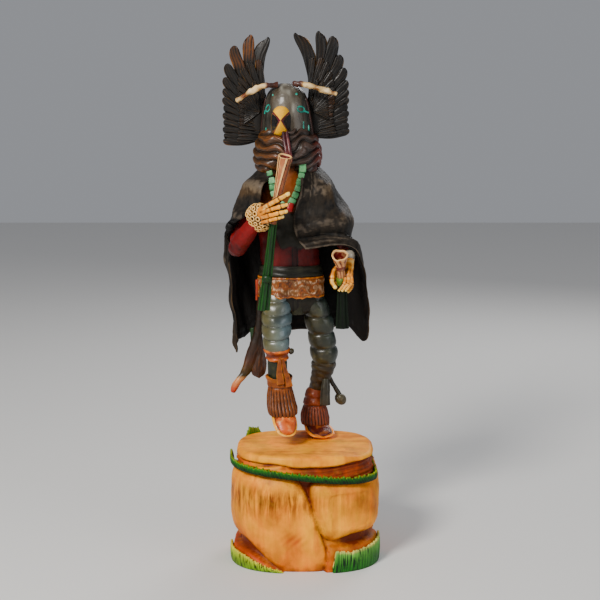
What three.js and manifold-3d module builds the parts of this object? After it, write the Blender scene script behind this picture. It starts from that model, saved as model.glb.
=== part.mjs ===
// A carved and painted kachina doll dancing on a carved rock base, in millimetres.
// The origin is the centre of the base's flat underside, +Z is up and the doll faces -Y.
// Right and left are the figure's own: its right side is at -X.
import * as THREE from "three";
import { mergeVertices } from "three/addons/utils/BufferGeometryUtils.js";
import Module from "manifold-3d";

const wasm = await Module();
wasm.setup();

// Driving dimensions.
const GAP = 0.3; // clearance between two separate pieces
const ROCK_TOP = 88; // the ground the dancer stands on
const ROCK_HALF_WIDTH = 57;
const ROCK_HALF_DEPTH = 48.5;
const ROCK_CENTRE_Y = 2;
const BODY_X = -12.5; // the axis through belt, chest and neck
const BODY_Y = 22;
const MASK_BASE = 312;
const MASK_TOP = 363.5;
const ROBE_THICKNESS = 2.4;
const WHIP_NECK_RADIUS = 3.2; // where the funnel meets the leaves
const WING_THICKNESS = 2.2;

const FRONT = new THREE.Vector3(0, -1, 0);
const DEGREE = Math.PI / 180;

// ---------------------------------------------------------------- numbers and curves

const mix = (a, b, t) => a + (b - a) * t;

function smooth(low, high, value) {
  const t = Math.min(1, Math.max(0, (value - low) / (high - low)));
  return t * t * (3 - 2 * t);
}

// Row of numbers at t (0 to 1) on the Catmull-Rom spline through equally spaced rows of numbers.
function blend(rows, t) {
  const place = t * (rows.length - 1);
  const i = Math.min(rows.length - 2, Math.floor(place));
  const f = place - i;
  const before = rows[Math.max(0, i - 1)];
  const after = rows[Math.min(rows.length - 1, i + 2)];
  return rows[i].map((a, k) => {
    const b = rows[i + 1][k];
    const startSlope = (b - before[k]) / 2;
    const endSlope = (after[k] - a) / 2;
    const square = f * f;
    const cube = square * f;
    return (2 * cube - 3 * square + 1) * a + (cube - 2 * square + f) * startSlope
      + (3 * square - 2 * cube) * b + (cube - square) * endSlope;
  });
}

// Row of numbers at t (0 to 1) on straight lines between equally spaced rows.
function polyline(rows, t) {
  const place = t * (rows.length - 1);
  const i = Math.min(rows.length - 2, Math.floor(place));
  return rows[i].map((a, k) => mix(a, rows[i + 1][k], place - i));
}

// ---------------------------------------------------------------- solids

// Closed solid through rings with the same number of points, with a fan across each end.
function loft(rings) {
  const sides = rings[0].length;
  const points = rings.flat();
  const faces = [];
  for (let i = 0; i + 1 < rings.length; i++) {
    for (let j = 0; j < sides; j++) {
      const a = i * sides + j;
      const b = i * sides + ((j + 1) % sides);
      faces.push(a, b, b + sides, a, b + sides, a + sides);
    }
  }
  const last = rings.length - 1;
  for (const [ring, first, flip] of [[rings[0], 0, true], [rings[last], last * sides, false]]) {
    const centre = ring.reduce((sum, p) => sum.add(p), new THREE.Vector3()).divideScalar(sides);
    const hub = points.push(centre) - 1;
    for (let j = 0; j < sides; j++) {
      const next = (j + 1) % sides;
      faces.push(hub, first + (flip ? next : j), first + (flip ? j : next));
    }
  }
  return solid(points, faces);
}

// Manifold solid from points and triangles, turned so that its faces point outwards.
function solid(points, faces) {
  let volume = 0;
  for (let i = 0; i < faces.length; i += 3) {
    const [a, b, c] = [points[faces[i]], points[faces[i + 1]], points[faces[i + 2]]];
    volume += a.dot(new THREE.Vector3().crossVectors(b, c));
  }
  const triVerts = Uint32Array.from(volume < 0 ? faces.slice().reverse() : faces);
  const vertProperties = Float32Array.from(points.flatMap((p) => p.toArray()));
  return new wasm.Manifold(new wasm.Mesh({ numProp: 3, vertProperties, triVerts }));
}

// Manifold solid from any closed three.js geometry.
function fromGeometry(geometry) {
  const bare = geometry.clone();
  bare.deleteAttribute("normal");
  bare.deleteAttribute("uv");
  const merged = mergeVertices(bare, 1e-4);
  const position = merged.getAttribute("position");
  const points = Array.from({ length: position.count }, (_, i) =>
    new THREE.Vector3().fromBufferAttribute(position, i));
  return solid(points, Array.from(merged.index.array));
}

// Ellipsoid with its own half sizes, turned by Euler angles in degrees.
function ellipsoid([x, y, z], [rx, ry, rz], turn = [0, 0, 0], detail = 10) {
  const geometry = new THREE.SphereGeometry(1, detail, Math.round(detail * 0.7));
  geometry.rotateX(90 * DEGREE);
  geometry.scale(rx, ry, rz);
  const angles = new THREE.Euler(...turn.map((a) => a * DEGREE));
  geometry.applyMatrix4(new THREE.Matrix4().makeRotationFromEuler(angles));
  geometry.translate(x, y, z);
  return fromGeometry(geometry);
}

// Limb along stations [x, y, z, half width, half depth]. The width lies across the limb, square to
// FRONT, and the depth lies towards it. `ripple(t)` swells or pinches the section along the limb.
function limb(stations, steps, sides, { ripple = () => 1, curve = blend } = {}) {
  const rings = [];
  for (let i = 0; i <= steps; i++) {
    const t = i / steps;
    const [x, y, z, wide, deep] = curve(stations, t);
    const ahead = new THREE.Vector3(...curve(stations, Math.min(1, t + 0.01)).slice(0, 3));
    const behind = new THREE.Vector3(...curve(stations, Math.max(0, t - 0.01)).slice(0, 3));
    const run = ahead.sub(behind).normalize();
    const side = new THREE.Vector3().crossVectors(run, FRONT).normalize();
    const fore = new THREE.Vector3().crossVectors(side, run).normalize();
    rings.push(Array.from({ length: sides }, (_, j) => {
      const angle = (j / sides) * 2 * Math.PI;
      const swell = ripple(t);
      return new THREE.Vector3(x, y, z)
        .addScaledVector(side, wide * swell * Math.cos(angle))
        .addScaledVector(fore, deep * swell * Math.sin(angle));
    }));
  }
  return loft(rings);
}

// Upright solid with level oval sections [z, x, y, half width, half depth]. `flute(angle, t)`
// swells the section by a factor; the angle is 0 at the front and grows towards +X.
function stack(levels, steps, sides, { flute = () => 1, curve = blend } = {}) {
  const rings = [];
  for (let i = 0; i <= steps; i++) {
    const t = i / steps;
    const [z, x, y, wide, deep] = curve(levels, t);
    rings.push(Array.from({ length: sides }, (_, j) => {
      const angle = (j / sides) * 2 * Math.PI;
      const swell = flute(angle, t);
      return new THREE.Vector3(
        x + wide * swell * Math.sin(angle),
        y - deep * swell * Math.cos(angle),
        z,
      );
    }));
  }
  return loft(rings);
}

// Sheet of even thickness on a grid of points, closed round its four edges.
function sheet(grid, thickness) {
  const rows = grid.length;
  const columns = grid[0].length;
  const at = (i, j) => grid[Math.min(rows - 1, Math.max(0, i))][Math.min(columns - 1, Math.max(0, j))];
  const outer = [];
  const inner = [];
  for (let i = 0; i < rows; i++) {
    for (let j = 0; j < columns; j++) {
      const along = at(i, j + 1).clone().sub(at(i, j - 1));
      const down = at(i + 1, j).clone().sub(at(i - 1, j));
      const normal = along.cross(down).normalize();
      outer.push(grid[i][j].clone());
      inner.push(grid[i][j].clone().addScaledVector(normal, -thickness));
    }
  }
  const faces = [];
  const inside = rows * columns;
  const quad = (a, b, c, d) => faces.push(a, b, c, a, c, d);
  for (let i = 0; i + 1 < rows; i++) {
    for (let j = 0; j + 1 < columns; j++) {
      const a = i * columns + j;
      quad(a, a + 1, a + columns + 1, a + columns);
      quad(inside + a, inside + a + columns, inside + a + columns + 1, inside + a + 1);
    }
    const start = i * columns;
    const end = start + columns - 1;
    quad(start, start + columns, inside + start + columns, inside + start);
    quad(end, inside + end, inside + end + columns, end + columns);
  }
  for (let j = 0; j + 1 < columns; j++) {
    const last = (rows - 1) * columns + j;
    quad(j, inside + j, inside + j + 1, j + 1);
    quad(last, last + 1, inside + last + 1, inside + last);
  }
  return solid(outer.concat(inner), faces);
}

const union = (solids) => wasm.Manifold.union(solids);

// ---------------------------------------------------------------- the rock base

// Distance from the rock's axis to its surface, at an angle (0 front, growing to +X) and a height.
// Boulders are pillows on a rounded-square core, with a slab on top and a turf ridge round the joint.
function rockRadius(angle, z) {
  const roundness = 2.6;
  const s = Math.sin(angle);
  const c = Math.cos(angle);
  const plan = (Math.abs(s / ROCK_HALF_WIDTH) ** roundness + Math.abs(c / ROCK_HALF_DEPTH) ** roundness)
    ** (-1 / roundness);
  const x = plan * s;
  const ridge = 73.4 - 1.4 * c - 6.6 * s + 13 * smooth(0.2, -0.9, c);
  const seam = 2 + (66 - z) * 0.31;
  const leftBoulder = pillow(x, z, -60, seam, 24 * smooth(-14, -56, x) - 2, ridge - 4);
  const rightBoulder = pillow(x, z, seam, 62, 27, ridge - 3);
  const rearBoulder = pillow(s * 60, z, -62, 62, 5, ridge - 4);
  const boulders = c > -0.1 ? Math.max(leftBoulder, rightBoulder) : rearBoulder;
  const turf = pillow(0, z, -1, 1, ridge - 4.5, ridge + 4);
  const foot = pillow(0, z, -1, 1, -12, x > 18 ? 19 : 12);
  const slab = pillow(0, z, -1, 1, ROCK_TOP - 12, ROCK_TOP + 3);
  const depth = Math.max(boulders * 6.5, turf * 7, foot * 5.5, slab * 2.5);
  return plan - 6.5 + depth;
}

// Height (0 to 1) of a rounded pillow over a rectangle.
function pillow(x, z, left, right, low, high) {
  const across = Math.abs((2 * x - left - right) / (right - left)) ** 6;
  const upright = Math.abs((2 * z - low - high) / (high - low)) ** 5;
  return Math.max(0, 1 - across - upright) ** 0.4;
}

function rockBase() {
  const heights = [0, 4, 11, 18, 24, 30, 44, 58, 65, 69, 73, 77, 81, 86, ROCK_TOP];
  const sides = 40;
  const ring = (z, inset) => Array.from({ length: sides }, (_, j) => {
    const angle = (j / sides) * 2 * Math.PI;
    const radius = rockRadius(angle, z) - inset;
    return new THREE.Vector3(radius * Math.sin(angle), ROCK_CENTRE_Y - radius * Math.cos(angle), z);
  });
  const rings = heights.map((z) => ring(z, z === ROCK_TOP ? 2.5 : 0));
  return loft(rings);
}

// ---------------------------------------------------------------- the figure

function torso() {
  const trunk = stack([
    [189, BODY_X + 1.5, BODY_Y, 17, 11],
    [199, BODY_X, BODY_Y, 23.5, 15],
    [222, BODY_X, BODY_Y, 23, 15],
    [240, BODY_X, BODY_Y, 24.5, 16],
    [262, BODY_X, BODY_Y, 25, 16.5],
    [282, BODY_X, BODY_Y, 23, 16],
    [295, BODY_X, BODY_Y, 15, 14],
    [314, BODY_X, BODY_Y, 12, 12],
  ], 6, 14);
  const belt = stack([
    [200.5, BODY_X, BODY_Y, 24.4, 16.4],
    [202, BODY_X, BODY_Y, 25.4, 17.4],
    [214, BODY_X, BODY_Y, 25.4, 17.4],
    [215.5, BODY_X, BODY_Y, 24.4, 16.4],
  ], 3, 16, { curve: polyline });
  return [trunk, belt];
}

function maskSolid(swell = 0) {
  return stack([
    [MASK_BASE, -13.6, 22, 20.2, 19.2],
    [327, -13.6, 22, 19.9, 19],
    [343, -14, 22, 18, 17.4],
    [353, -14.2, 22, 15.8, 15.4],
    [360, -14.4, 22, 11.6, 11.4],
    [MASK_TOP, -14.5, 22, 4.5, 4.5],
  ].map(([z, x, y, rx, ry]) => [z + (z > 350 ? swell : 0), x, y, rx + swell, ry + swell]), 7, 16);
}

function ruff(swell = 0) {
  const centre = [-13.4, 19];
  const levels = [
    [293.5, ...centre, 15, 14],
    [297, ...centre, 22.5, 21.5],
    [303, ...centre, 26, 25],
    [310, ...centre, 26.6, 25.4],
    [317, ...centre, 25.6, 24.4],
    [323, ...centre, 23.6, 22],
    [329, ...centre, 18, 17],
  ].map(([z, x, y, rx, ry]) => [z + (z > 310 ? swell : 0), x, y, rx + swell, ry + swell]);
  return stack(levels, 7, 18, { flute: (angle) => 1 + 0.015 * Math.cos(6 * angle) });
}

// The robe's sections and its hem, each from the right front edge round the back to the left.
const ROBE_SHOULDER = [
  [-27, -2, 290], [-37, 4, 290], [-46, 20, 286], [-43, 36, 286], [-30, 46, 287], [-12, 50, 288],
  [8, 46, 287], [20, 35, 285], [24.5, 20, 284], [17, 3, 283], [-4, -3, 283],
];
const ROBE_UPPER_ARM = [
  [-40, -7, 268], [-50, -2, 266], [-53.5, 18, 272], [-50, 38, 268], [-36, 50, 266], [-12, 54, 266],
  [14, 51, 265], [27, 40, 264], [32, 20, 265], [25, -2, 264], [-9, -5, 262],
];
const ROBE_ELBOW = [
  [-58, 5, 256], [-61, 14, 248], [-62, 26, 240], [-54, 44, 238], [-36, 54, 236], [-10, 57, 236],
  [18, 54, 238], [32, 44, 242], [37, 24, 246], [32, -4, 252], [-7, -5, 250],
];
const ROBE_HIP = [
  [-59, 24, 226], [-58, 30, 218], [-56, 40, 205], [-48, 50, 204], [-34, 55, 203], [-8, 57, 203],
  [18, 54, 206], [32, 47, 210], [40, 27, 221], [36, -2, 246], [-4, -5, 244],
];
const ROBE_HEM = [
  [-53.7, 35, 153], [-56, 39, 162], [-46, 46, 164], [-38, 52, 171], [-24, 54, 166], [-4, 55, 168],
  [16, 50, 168], [32, 44, 174], [49, 37, 164], [41.5, -1, 236], [0, -6, 239],
];

function robe() {
  const neck = ROBE_SHOULDER.map((_, k) => {
    const angle = (-120 - 30 * k) * DEGREE;
    return [-12.5 + 18 * Math.cos(angle), 22 + 17 * Math.sin(angle), 304];
  });
  const sections = [neck, ROBE_SHOULDER, ROBE_UPPER_ARM, ROBE_ELBOW, ROBE_HIP, ROBE_HEM];
  const down = 9;
  const round = 24;
  const grid = Array.from({ length: down + 1 }, (_, i) => Array.from({ length: round + 1 }, (_, j) => {
    const column = sections.map((section) => blend(section, j / round));
    return new THREE.Vector3(...blend(column, i / down));
  }));
  return sheet(grid, ROBE_THICKNESS);
}

// Right arm raised to the chest, with its cuff of shell loops and its long fingers round the whip.
function rightArm() {
  const upper = limb([[-32, 22, 286, 8, 8], [-45, 15, 266, 8, 8], [-51.5, 6, 244, 7.5, 7.5]], 3, 8);
  const forearm = limb([
    [-53, 5, 236.5, 3, 3],
    [-52, 2, 239, 6.5, 6.5],
    [-47, -4, 247, 7.2, 7.2],
    [-38, -12, 259, 6, 6],
  ], 5, 10, { curve: polyline });
  const cuff = limb([
    [-39.5, -11, 260, 10, 7], [-34, -14.5, 264, 11.5, 8], [-29, -17, 267, 10, 6.6],
  ], 3, 12);
  const palm = limb([[-36, -15, 262, 6, 4.5], [-29, -20, 268, 7.5, 5], [-22, -22, 272, 6.5, 4]], 3, 8);
  const fingers = [0, 1, 2, 3].map((k) => limb([
    [-31 + 0.6 * k, -19.5, 272.5 - 3.6 * k, 2, 2],
    [-24, -29.5, 275.5 - 4.1 * k, 2, 2],
    [-16 - 0.4 * k, -32.3 + 0.3 * k, 279.5 - 5 * k, 2, 2],
    [-11 - 1.2 * k, -28 + 0.4 * k, 282 - 5.4 * k, 1.3, 1.3],
  ], 4, 5));
  return [upper, forearm, cuff, palm, ...fingers];
}

// Left arm hanging under the robe, with its fist round the second whip.
function leftArm() {
  const upper = limb([[8, 22, 284, 8, 8], [22, 16, 266, 8, 8], [31, 10, 244, 7.5, 7.5]], 3, 8);
  const forearm = limb([[31.5, 11, 245, 7, 7], [33, 2, 234, 6, 6], [30, -7, 221, 4.5, 4.5]], 3, 8);
  const fist = ellipsoid([27.2, -9.5, 216.5], [7, 7.5, 8], [0, 10, 0], 8);
  return [upper, forearm, fist];
}

// Legging bulges along a leg: rounded swellings with a crease between each two.
function bulges(count, depth) {
  return (t) => 1 - depth + depth * Math.abs(Math.sin(t * count * Math.PI)) ** 0.6;
}

function rightLeg() {
  const thigh = limb([
    [-21.5, 21, 206, 11, 11],
    [-22, 14, 193, 11.4, 11],
    [-22.2, 8, 178, 11.2, 10.5],
    [-22.2, 4, 163, 9.6, 9.5],
    [-21.8, 4, 156, 8, 8],
  ], 12, 10, { ripple: bulges(4, 0.08) });
  const garter = stack([
    [152.5, -21.5, 5, 6.5, 6.5],
    [155, -21.5, 5, 9.2, 9],
    [160.5, -21.6, 5, 9.8, 9.6],
    [163, -21.8, 5, 8.5, 8.5],
  ], 3, 12, { curve: polyline });
  const knot = ellipsoid([-10.5, 5, 159.5], [2.6, 2.4, 2.8], [0, 0, 0], 6);
  const calf = limb([[-21.5, 5, 156, 7.2, 7.2], [-20.6, 7, 145, 8, 8], [-19.5, 7, 128, 7, 7]], 3, 10);
  const anklet = limb([
    [-20, 6.5, 137.5, 8.6, 8.6],
    [-19.6, 5.5, 133, 10, 9.6],
    [-19.2, 4.5, 129, 9.4, 9.2],
    [-18.6, 2.5, 122, 11.2, 10],
    [-17.9, 0, 115, 12, 10.6],
    [-17.3, -1.8, 110.8, 11.2, 10],
  ], 5, 16, { curve: polyline });
  const moccasin = limb([
    [-18, 8, 115, 6, 6],
    [-17, 1, 112, 8.2, 7.4],
    [-16, -5, 107, 9, 7],
    [-15.2, -10, 103, 8, 5],
    [-14.8, -13.5, 100.3, 3.4, 2],
  ], 5, 10, { curve: polyline });
  return [thigh, garter, knot, calf, anklet, moccasin];
}

function leftLeg() {
  const thigh = limb([
    [0, 22, 206, 11.5, 11],
    [7, 24, 194, 9.8, 10.5],
    [11, 26, 180, 10.8, 10.5],
    [13.6, 28, 166, 10.2, 10],
    [15.6, 30, 152, 10.4, 10],
    [14.5, 31, 143, 8.5, 8.5],
  ], 12, 10, { ripple: bulges(4, 0.08) });
  const shin = limb([
    [15.4, 31, 147, 9.3, 9.4],
    [14, 32, 138, 8.6, 9],
    [11, 33.5, 129, 6.8, 7.4],
    [8.5, 35, 118, 6, 6.8],
  ], 4, 10);
  const anklet = stack([
    [125, 8.4, 34, 6, 7],
    [121.5, 8.2, 34, 7.6, 8.2],
    [112, 8, 34, 9.4, 9.6],
    [110.5, 7.9, 33, 8.8, 9.2],
    [103, 8, 32.5, 11.4, 11],
    [96.6, 8.4, 32, 11.4, 11],
  ], 5, 16, { curve: polyline });
  const heading = 17 * DEGREE;
  const along = (t, side, z) => [9 + t * Math.sin(heading) + side * Math.cos(heading), 30
    - t * Math.cos(heading) + side * Math.sin(heading), z];
  const shoe = [-17, -14, -6, 4, 11, 14].map((t, k) => {
    const half = [3, 6.5, 8.4, 9.8, 8, 3.5][k];
    const top = [6, 11, 12, 10, 7.5, 5][k];
    return [[-1, 0], [-1, 3], [-0.75, 0.8 * top], [0, top], [0.75, 0.8 * top], [1, 3], [1, 0]]
      .map(([side, rise]) => new THREE.Vector3(...along(t, side * half, ROCK_TOP + GAP + rise)));
  });
  return [thigh, shin, anklet, loft(shoe)];
}

// Fox pelt hanging behind the right hip, with its forked tail.
function foxPelt() {
  const pelt = limb([
    [-31, 32, 206, 6, 4],
    [-36, 36, 184, 7.5, 4],
    [-40.5, 37, 160, 7.5, 3.4],
    [-44, 34, 146, 8.5, 3.4],
    [-50, 32, 134, 5, 3],
    [-55.5, 31, 126, 3.6, 2.6],
    [-57.5, 31, 121.5, 1.2, 1],
  ], 8, 6);
  const lobe = limb([[-40, 37, 160, 5, 3], [-35, 35, 146, 7, 3.2], [-34, 34, 137, 4.5, 2.4]], 3, 6);
  return [pelt, lobe];
}

function tassel() {
  const cord = limb([
    [15, 36, 141, 2, 2], [21, 37, 130, 1.8, 1.8], [25, 38, 123, 2, 2], [28.5, 38, 117, 2, 2],
  ], 4, 5);
  return [cord, ellipsoid([28.6, 38, 114.5], [4.2, 3.6, 4.4], [0, -35, 0], 8)];
}

function figure() {
  return union([
    ...torso(), maskSolid(), ruff(), robe(), ...rightArm(), ...leftArm(), ...rightLeg(), ...leftLeg(),
    ...foxPelt(), ...tassel(),
  ]);
}

// ---------------------------------------------------------------- head fittings

// Beak set on the mask: top and bottom wedges meet at the point, with hollow sides between.
function beak() {
  const tip = new THREE.Vector3(-18.3, -10, 335.4);
  const root = new THREE.Vector3(-17.5, 8, 334.4);
  const rings = [0, 0.35, 0.7, 0.9, 0.98].map((t) => Array.from({ length: 12 }, (_, j) => {
    const angle = (j / 12) * 2 * Math.PI;
    const size = (1 - t ** 1.7);
    const sideways = Math.abs(Math.cos(angle));
    const hollow = 1 - 0.3 * t * sideways ** 3;
    return root.clone().lerp(tip, t).add(new THREE.Vector3(
      6.3 * size * hollow * Math.cos(angle), 0, 10.8 * size * Math.sin(angle)));
  }));
  return loft(rings);
}

// Carved wing fan: feathers from roots beside the mask to tips on the wing's outline.
// `side` is 1 for the fan at +X and -1 for the one at -X; tips run from the leading feather down.
function wing(roots, tips, side) {
  const feathers = tips.map(([tipX, tipZ, half], k) => {
    const [rootX, rootZ] = polyline(roots, k / (tips.length - 1));
    const y = 28 + 0.25 * k;
    const shaft = [0, 0.45, 0.9, 1].map((t, i) => {
      const width = half * [0.75, 1, 1, 0.55][i];
      return [mix(rootX, tipX, t), y + 1.5 * t, mix(rootZ, tipZ, t), width, WING_THICKNESS / 2];
    });
    return limb(shaft, 3, 4, { curve: polyline });
  });
  const hub = ellipsoid([-13.8 + side * 20, 28, 341], [8, 3.6, 25], [0, side * 4, 0], 8);
  return union([hub, ...feathers]);
}

const WING_LEFT_ROOTS = [[4, 352], [7, 338], [7, 322.5]];
const WING_LEFT_TIPS = [
  [-5.2, 401.6, 5], [11.8, 402, 5], [22.5, 398.5, 5], [28.8, 382, 4.5], [32.4, 367, 4.5],
  [33.4, 357, 4.3], [33.6, 349, 4.3], [33.6, 341.5, 4.3], [33.6, 335, 4.3], [33.8, 328.5, 3.6],
];
const WING_RIGHT_ROOTS = [[-31, 352], [-34, 338], [-34.5, 320.5]];
const WING_RIGHT_TIPS = [
  [-32.5, 397.6, 5], [-44.6, 399.5, 5], [-56, 391.5, 5], [-61.6, 375, 4.6], [-63.2, 363, 5],
  [-63.4, 353, 5], [-63.5, 344, 4.8], [-63.6, 335.5, 4.8], [-63.6, 327.5, 4.8], [-63.4, 320, 4.4],
];

function plume(route) {
  return limb(route, 9, 8, { ripple: (t) => 1 + 0.1 * Math.sin(t * 5 * Math.PI) });
}

// ---------------------------------------------------------------- whips

// Whip: a hollow cane funnel over a tied bundle of leaves that flares at its end.
function whip(top, tubeEnd, bladeEnd, mouthRadius, bladeHalf, swell = 0) {
  const tube = limb([
    [...top, mouthRadius + swell, mouthRadius + swell],
    [...tubeEnd, WHIP_NECK_RADIUS + swell, WHIP_NECK_RADIUS + swell],
  ], 1, 10, { curve: polyline });
  const bore = limb([
    [...top.map((v, k) => v + (v - tubeEnd[k]) * 0.01), mouthRadius * 0.72, mouthRadius * 0.72],
    [...top.map((v, k) => mix(v, tubeEnd[k], 0.25)), mouthRadius * 0.5, mouthRadius * 0.5],
  ], 1, 10, { curve: polyline });
  const start = tubeEnd.map((v, k) => mix(v, bladeEnd[k], -0.02));
  const leaves = limb([
    [...start, WHIP_NECK_RADIUS + swell, 2.6 + swell],
    [...start.map((v, k) => mix(v, bladeEnd[k], 0.6)), bladeHalf * 0.8 + swell, 2.4 + swell],
    [...bladeEnd, bladeHalf + swell, 2.2 + swell],
  ], 2, 8, { curve: polyline });
  const whole = union([tube, leaves]);
  return swell ? whole : whole.subtract(bore);
}

const WHIP_RIGHT = [[-14.8, -26, 308.4], [-24.5, -23, 258], [-31.6, -17, 193.5], 5.2, 4.3];
const WHIP_LEFT = [[26.2, -16, 238], [27.5, -10.5, 208], [28.3, -6, 177.5], 5.6, 4.4];

// ---------------------------------------------------------------- the scene

const doll = new THREE.Group();

function add(name, body, color, roughness) {
  const mesh = body.getMesh();
  const geometry = new THREE.BufferGeometry();
  geometry.setAttribute("position", new THREE.BufferAttribute(mesh.vertProperties, 3));
  geometry.setIndex(new THREE.BufferAttribute(mesh.triVerts, 1));
  const material = new THREE.MeshStandardMaterial({ color, roughness, metalness: 0 });
  const part = new THREE.Mesh(geometry, material);
  part.name = name;
  doll.add(part);
}

const rightWhipSpace = whip(...WHIP_RIGHT, GAP);
const leftWhipSpace = whip(...WHIP_LEFT, GAP);
const figureSolid = figure().subtract(rightWhipSpace).subtract(leftWhipSpace);
const headSpace = union([maskSolid(GAP), ruff(GAP)]);
const fit = (piece) => piece.subtract(headSpace);

add("rock_base", rockBase(), 0xd08a34, 0.6);
add("figure", figureSolid, 0x3a302b, 0.6);
add("beak", fit(beak()), 0xe0b030, 0.45);
add("wing_left", fit(wing(WING_LEFT_ROOTS, WING_LEFT_TIPS, 1)), 0x241c19, 0.6);
add("wing_right", fit(wing(WING_RIGHT_ROOTS, WING_RIGHT_TIPS, -1)), 0x2b1f19, 0.6);
add("plume_left", fit(plume([
  [-8.5, 12, 362.6, 2.4, 2.2], [-0.5, 10, 362.2, 2.7, 2.4],
  [11, 10, 358.6, 2.3, 2.2], [23.5, 11, 355.4, 2, 1.8],
])), 0xe8cfa8, 0.6);
add("plume_right", fit(plume([
  [-21, 12, 361.6, 2.2, 2], [-32, 10, 361.2, 2.6, 2.4],
  [-41.5, 10, 356, 2.4, 2.2], [-52, 11, 349.8, 2, 1.8],
])), 0xe8cfa8, 0.6);
add("whip_right", whip(...WHIP_RIGHT), 0x2c6b3a, 0.55);
add("whip_left", whip(...WHIP_LEFT), 0x2c6b3a, 0.55);

export default doll;
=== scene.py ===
# %% [markdown]
# # A carved kachina doll, one painted surface at a time
#
# The real doll is a root of soft wood, cut with knives and files, then stained, painted and wiped so
# that dark colour stays in the grooves and pale colour catches the ridges. This notebook rebuilds it
# the same way: every garment, feather and stone is a smooth surface worked out by a formula, small
# cuts are pressed into it along its own direction, and the depth of each cut is kept as a number on
# the mesh, so that the paint can collect there.

# %% Load the frame
import math
import bpy
import numpy as np
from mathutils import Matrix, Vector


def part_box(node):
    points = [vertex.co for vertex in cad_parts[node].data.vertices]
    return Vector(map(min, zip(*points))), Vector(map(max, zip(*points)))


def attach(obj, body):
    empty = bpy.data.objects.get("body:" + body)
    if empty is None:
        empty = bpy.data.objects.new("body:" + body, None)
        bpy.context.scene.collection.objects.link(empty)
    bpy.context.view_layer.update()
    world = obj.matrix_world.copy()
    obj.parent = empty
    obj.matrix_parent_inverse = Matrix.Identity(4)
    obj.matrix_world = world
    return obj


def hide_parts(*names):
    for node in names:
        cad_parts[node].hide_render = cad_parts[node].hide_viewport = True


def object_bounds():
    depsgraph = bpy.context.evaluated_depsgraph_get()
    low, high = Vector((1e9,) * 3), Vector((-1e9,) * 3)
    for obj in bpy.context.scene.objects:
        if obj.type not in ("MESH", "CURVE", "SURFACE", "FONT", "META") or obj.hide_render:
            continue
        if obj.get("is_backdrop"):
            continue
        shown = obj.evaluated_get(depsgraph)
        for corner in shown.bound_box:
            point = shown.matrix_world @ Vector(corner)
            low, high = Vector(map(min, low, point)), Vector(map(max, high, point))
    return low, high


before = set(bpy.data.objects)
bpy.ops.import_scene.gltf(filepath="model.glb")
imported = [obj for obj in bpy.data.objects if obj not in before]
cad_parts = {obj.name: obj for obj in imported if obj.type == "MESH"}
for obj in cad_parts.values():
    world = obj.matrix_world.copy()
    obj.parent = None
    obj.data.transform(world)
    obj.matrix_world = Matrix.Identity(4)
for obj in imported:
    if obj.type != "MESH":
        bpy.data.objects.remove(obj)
cad_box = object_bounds()
MM = 0.001  # every length below is in millimetres; the mesh builder turns it into metres
print("nodes in the frame:", ", ".join(sorted(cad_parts)))

# %% [markdown]
# ## The camera
#
# A small object is photographed from a metre away with a long lens, so that its upright lines stay
# nearly parallel. The lens stands near head height and tips down a little, which shows the top of
# the rock as a flat oval. The camera is made first, because every later choice is judged through it.

# %% Camera
camera_data = bpy.data.cameras.new("camera")
camera_data.lens = 79.8
camera_data.sensor_width = 36.0
camera = bpy.data.objects.new("camera", camera_data)
camera.location = (-0.00385, -1.0, 0.345)
camera.rotation_euler = (math.radians(90 - 8.26), 0.0, 0.0)
bpy.context.scene.collection.objects.link(camera)
bpy.context.scene.camera = camera

# %% [markdown]
# ## Studio
#
# A pale floor and soft light. One large lamp high on the left gives the glints on the paint, a
# second, weaker one on the right keeps the dark robe readable, and the sky fills in the rest.

# %% Floor and lights
FLOOR_HALF = 3.0
floor_mesh = bpy.data.meshes.new("floor")
floor_mesh.from_pydata(
    [(-FLOOR_HALF, -FLOOR_HALF, 0), (FLOOR_HALF, -FLOOR_HALF, 0),
     (FLOOR_HALF, FLOOR_HALF, 0), (-FLOOR_HALF, FLOOR_HALF, 0)], [], [(0, 1, 2, 3)])
floor = bpy.data.objects.new("floor", floor_mesh)
bpy.context.scene.collection.objects.link(floor)
floor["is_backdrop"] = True

floor_paint = bpy.data.materials.new("floor_paper")
floor_paint.use_nodes = True
floor_shader = floor_paint.node_tree.nodes["Principled BSDF"]
floor_shader.inputs["Base Color"].default_value = (0.72, 0.71, 0.69, 1)
floor_shader.inputs["Roughness"].default_value = 0.9
floor_mesh.materials.append(floor_paint)


LAMP_TARGET = np.array((0.0, 0.0, 0.22))  # the middle of the doll, in metres


def soft_lamp(name, place, size, watts, colour=(1, 1, 1)):
    """A round area lamp at `place`, turned so that its face looks at LAMP_TARGET."""
    data = bpy.data.lights.new(name, "AREA")
    data.shape = "DISK"
    data.size = size
    data.energy = watts
    data.color = colour
    lamp = bpy.data.objects.new(name, data)
    away = np.array(place) - LAMP_TARGET
    flat = math.hypot(away[0], away[1])
    lamp.location = place
    lamp.rotation_euler = (math.atan2(flat, away[2]), 0, math.atan2(away[0], -away[1]))
    bpy.context.scene.collection.objects.link(lamp)


soft_lamp("key_lamp", (-0.62, -1.05, 1.0), 0.4, 27, colour=(1.0, 0.97, 0.92))
soft_lamp("fill_lamp", (1.1, -0.9, 0.5), 0.8, 5, colour=(0.95, 0.97, 1.0))
soft_lamp("back_lamp", (0.5, 1.0, 0.9), 0.6, 6)

world = bpy.data.worlds.new("studio")
world.use_nodes = True
world.node_tree.nodes["Background"].inputs["Color"].default_value = (0.9, 0.93, 1.0, 1)
world.node_tree.nodes["Background"].inputs["Strength"].default_value = 0.32
bpy.context.scene.world = world

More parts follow.
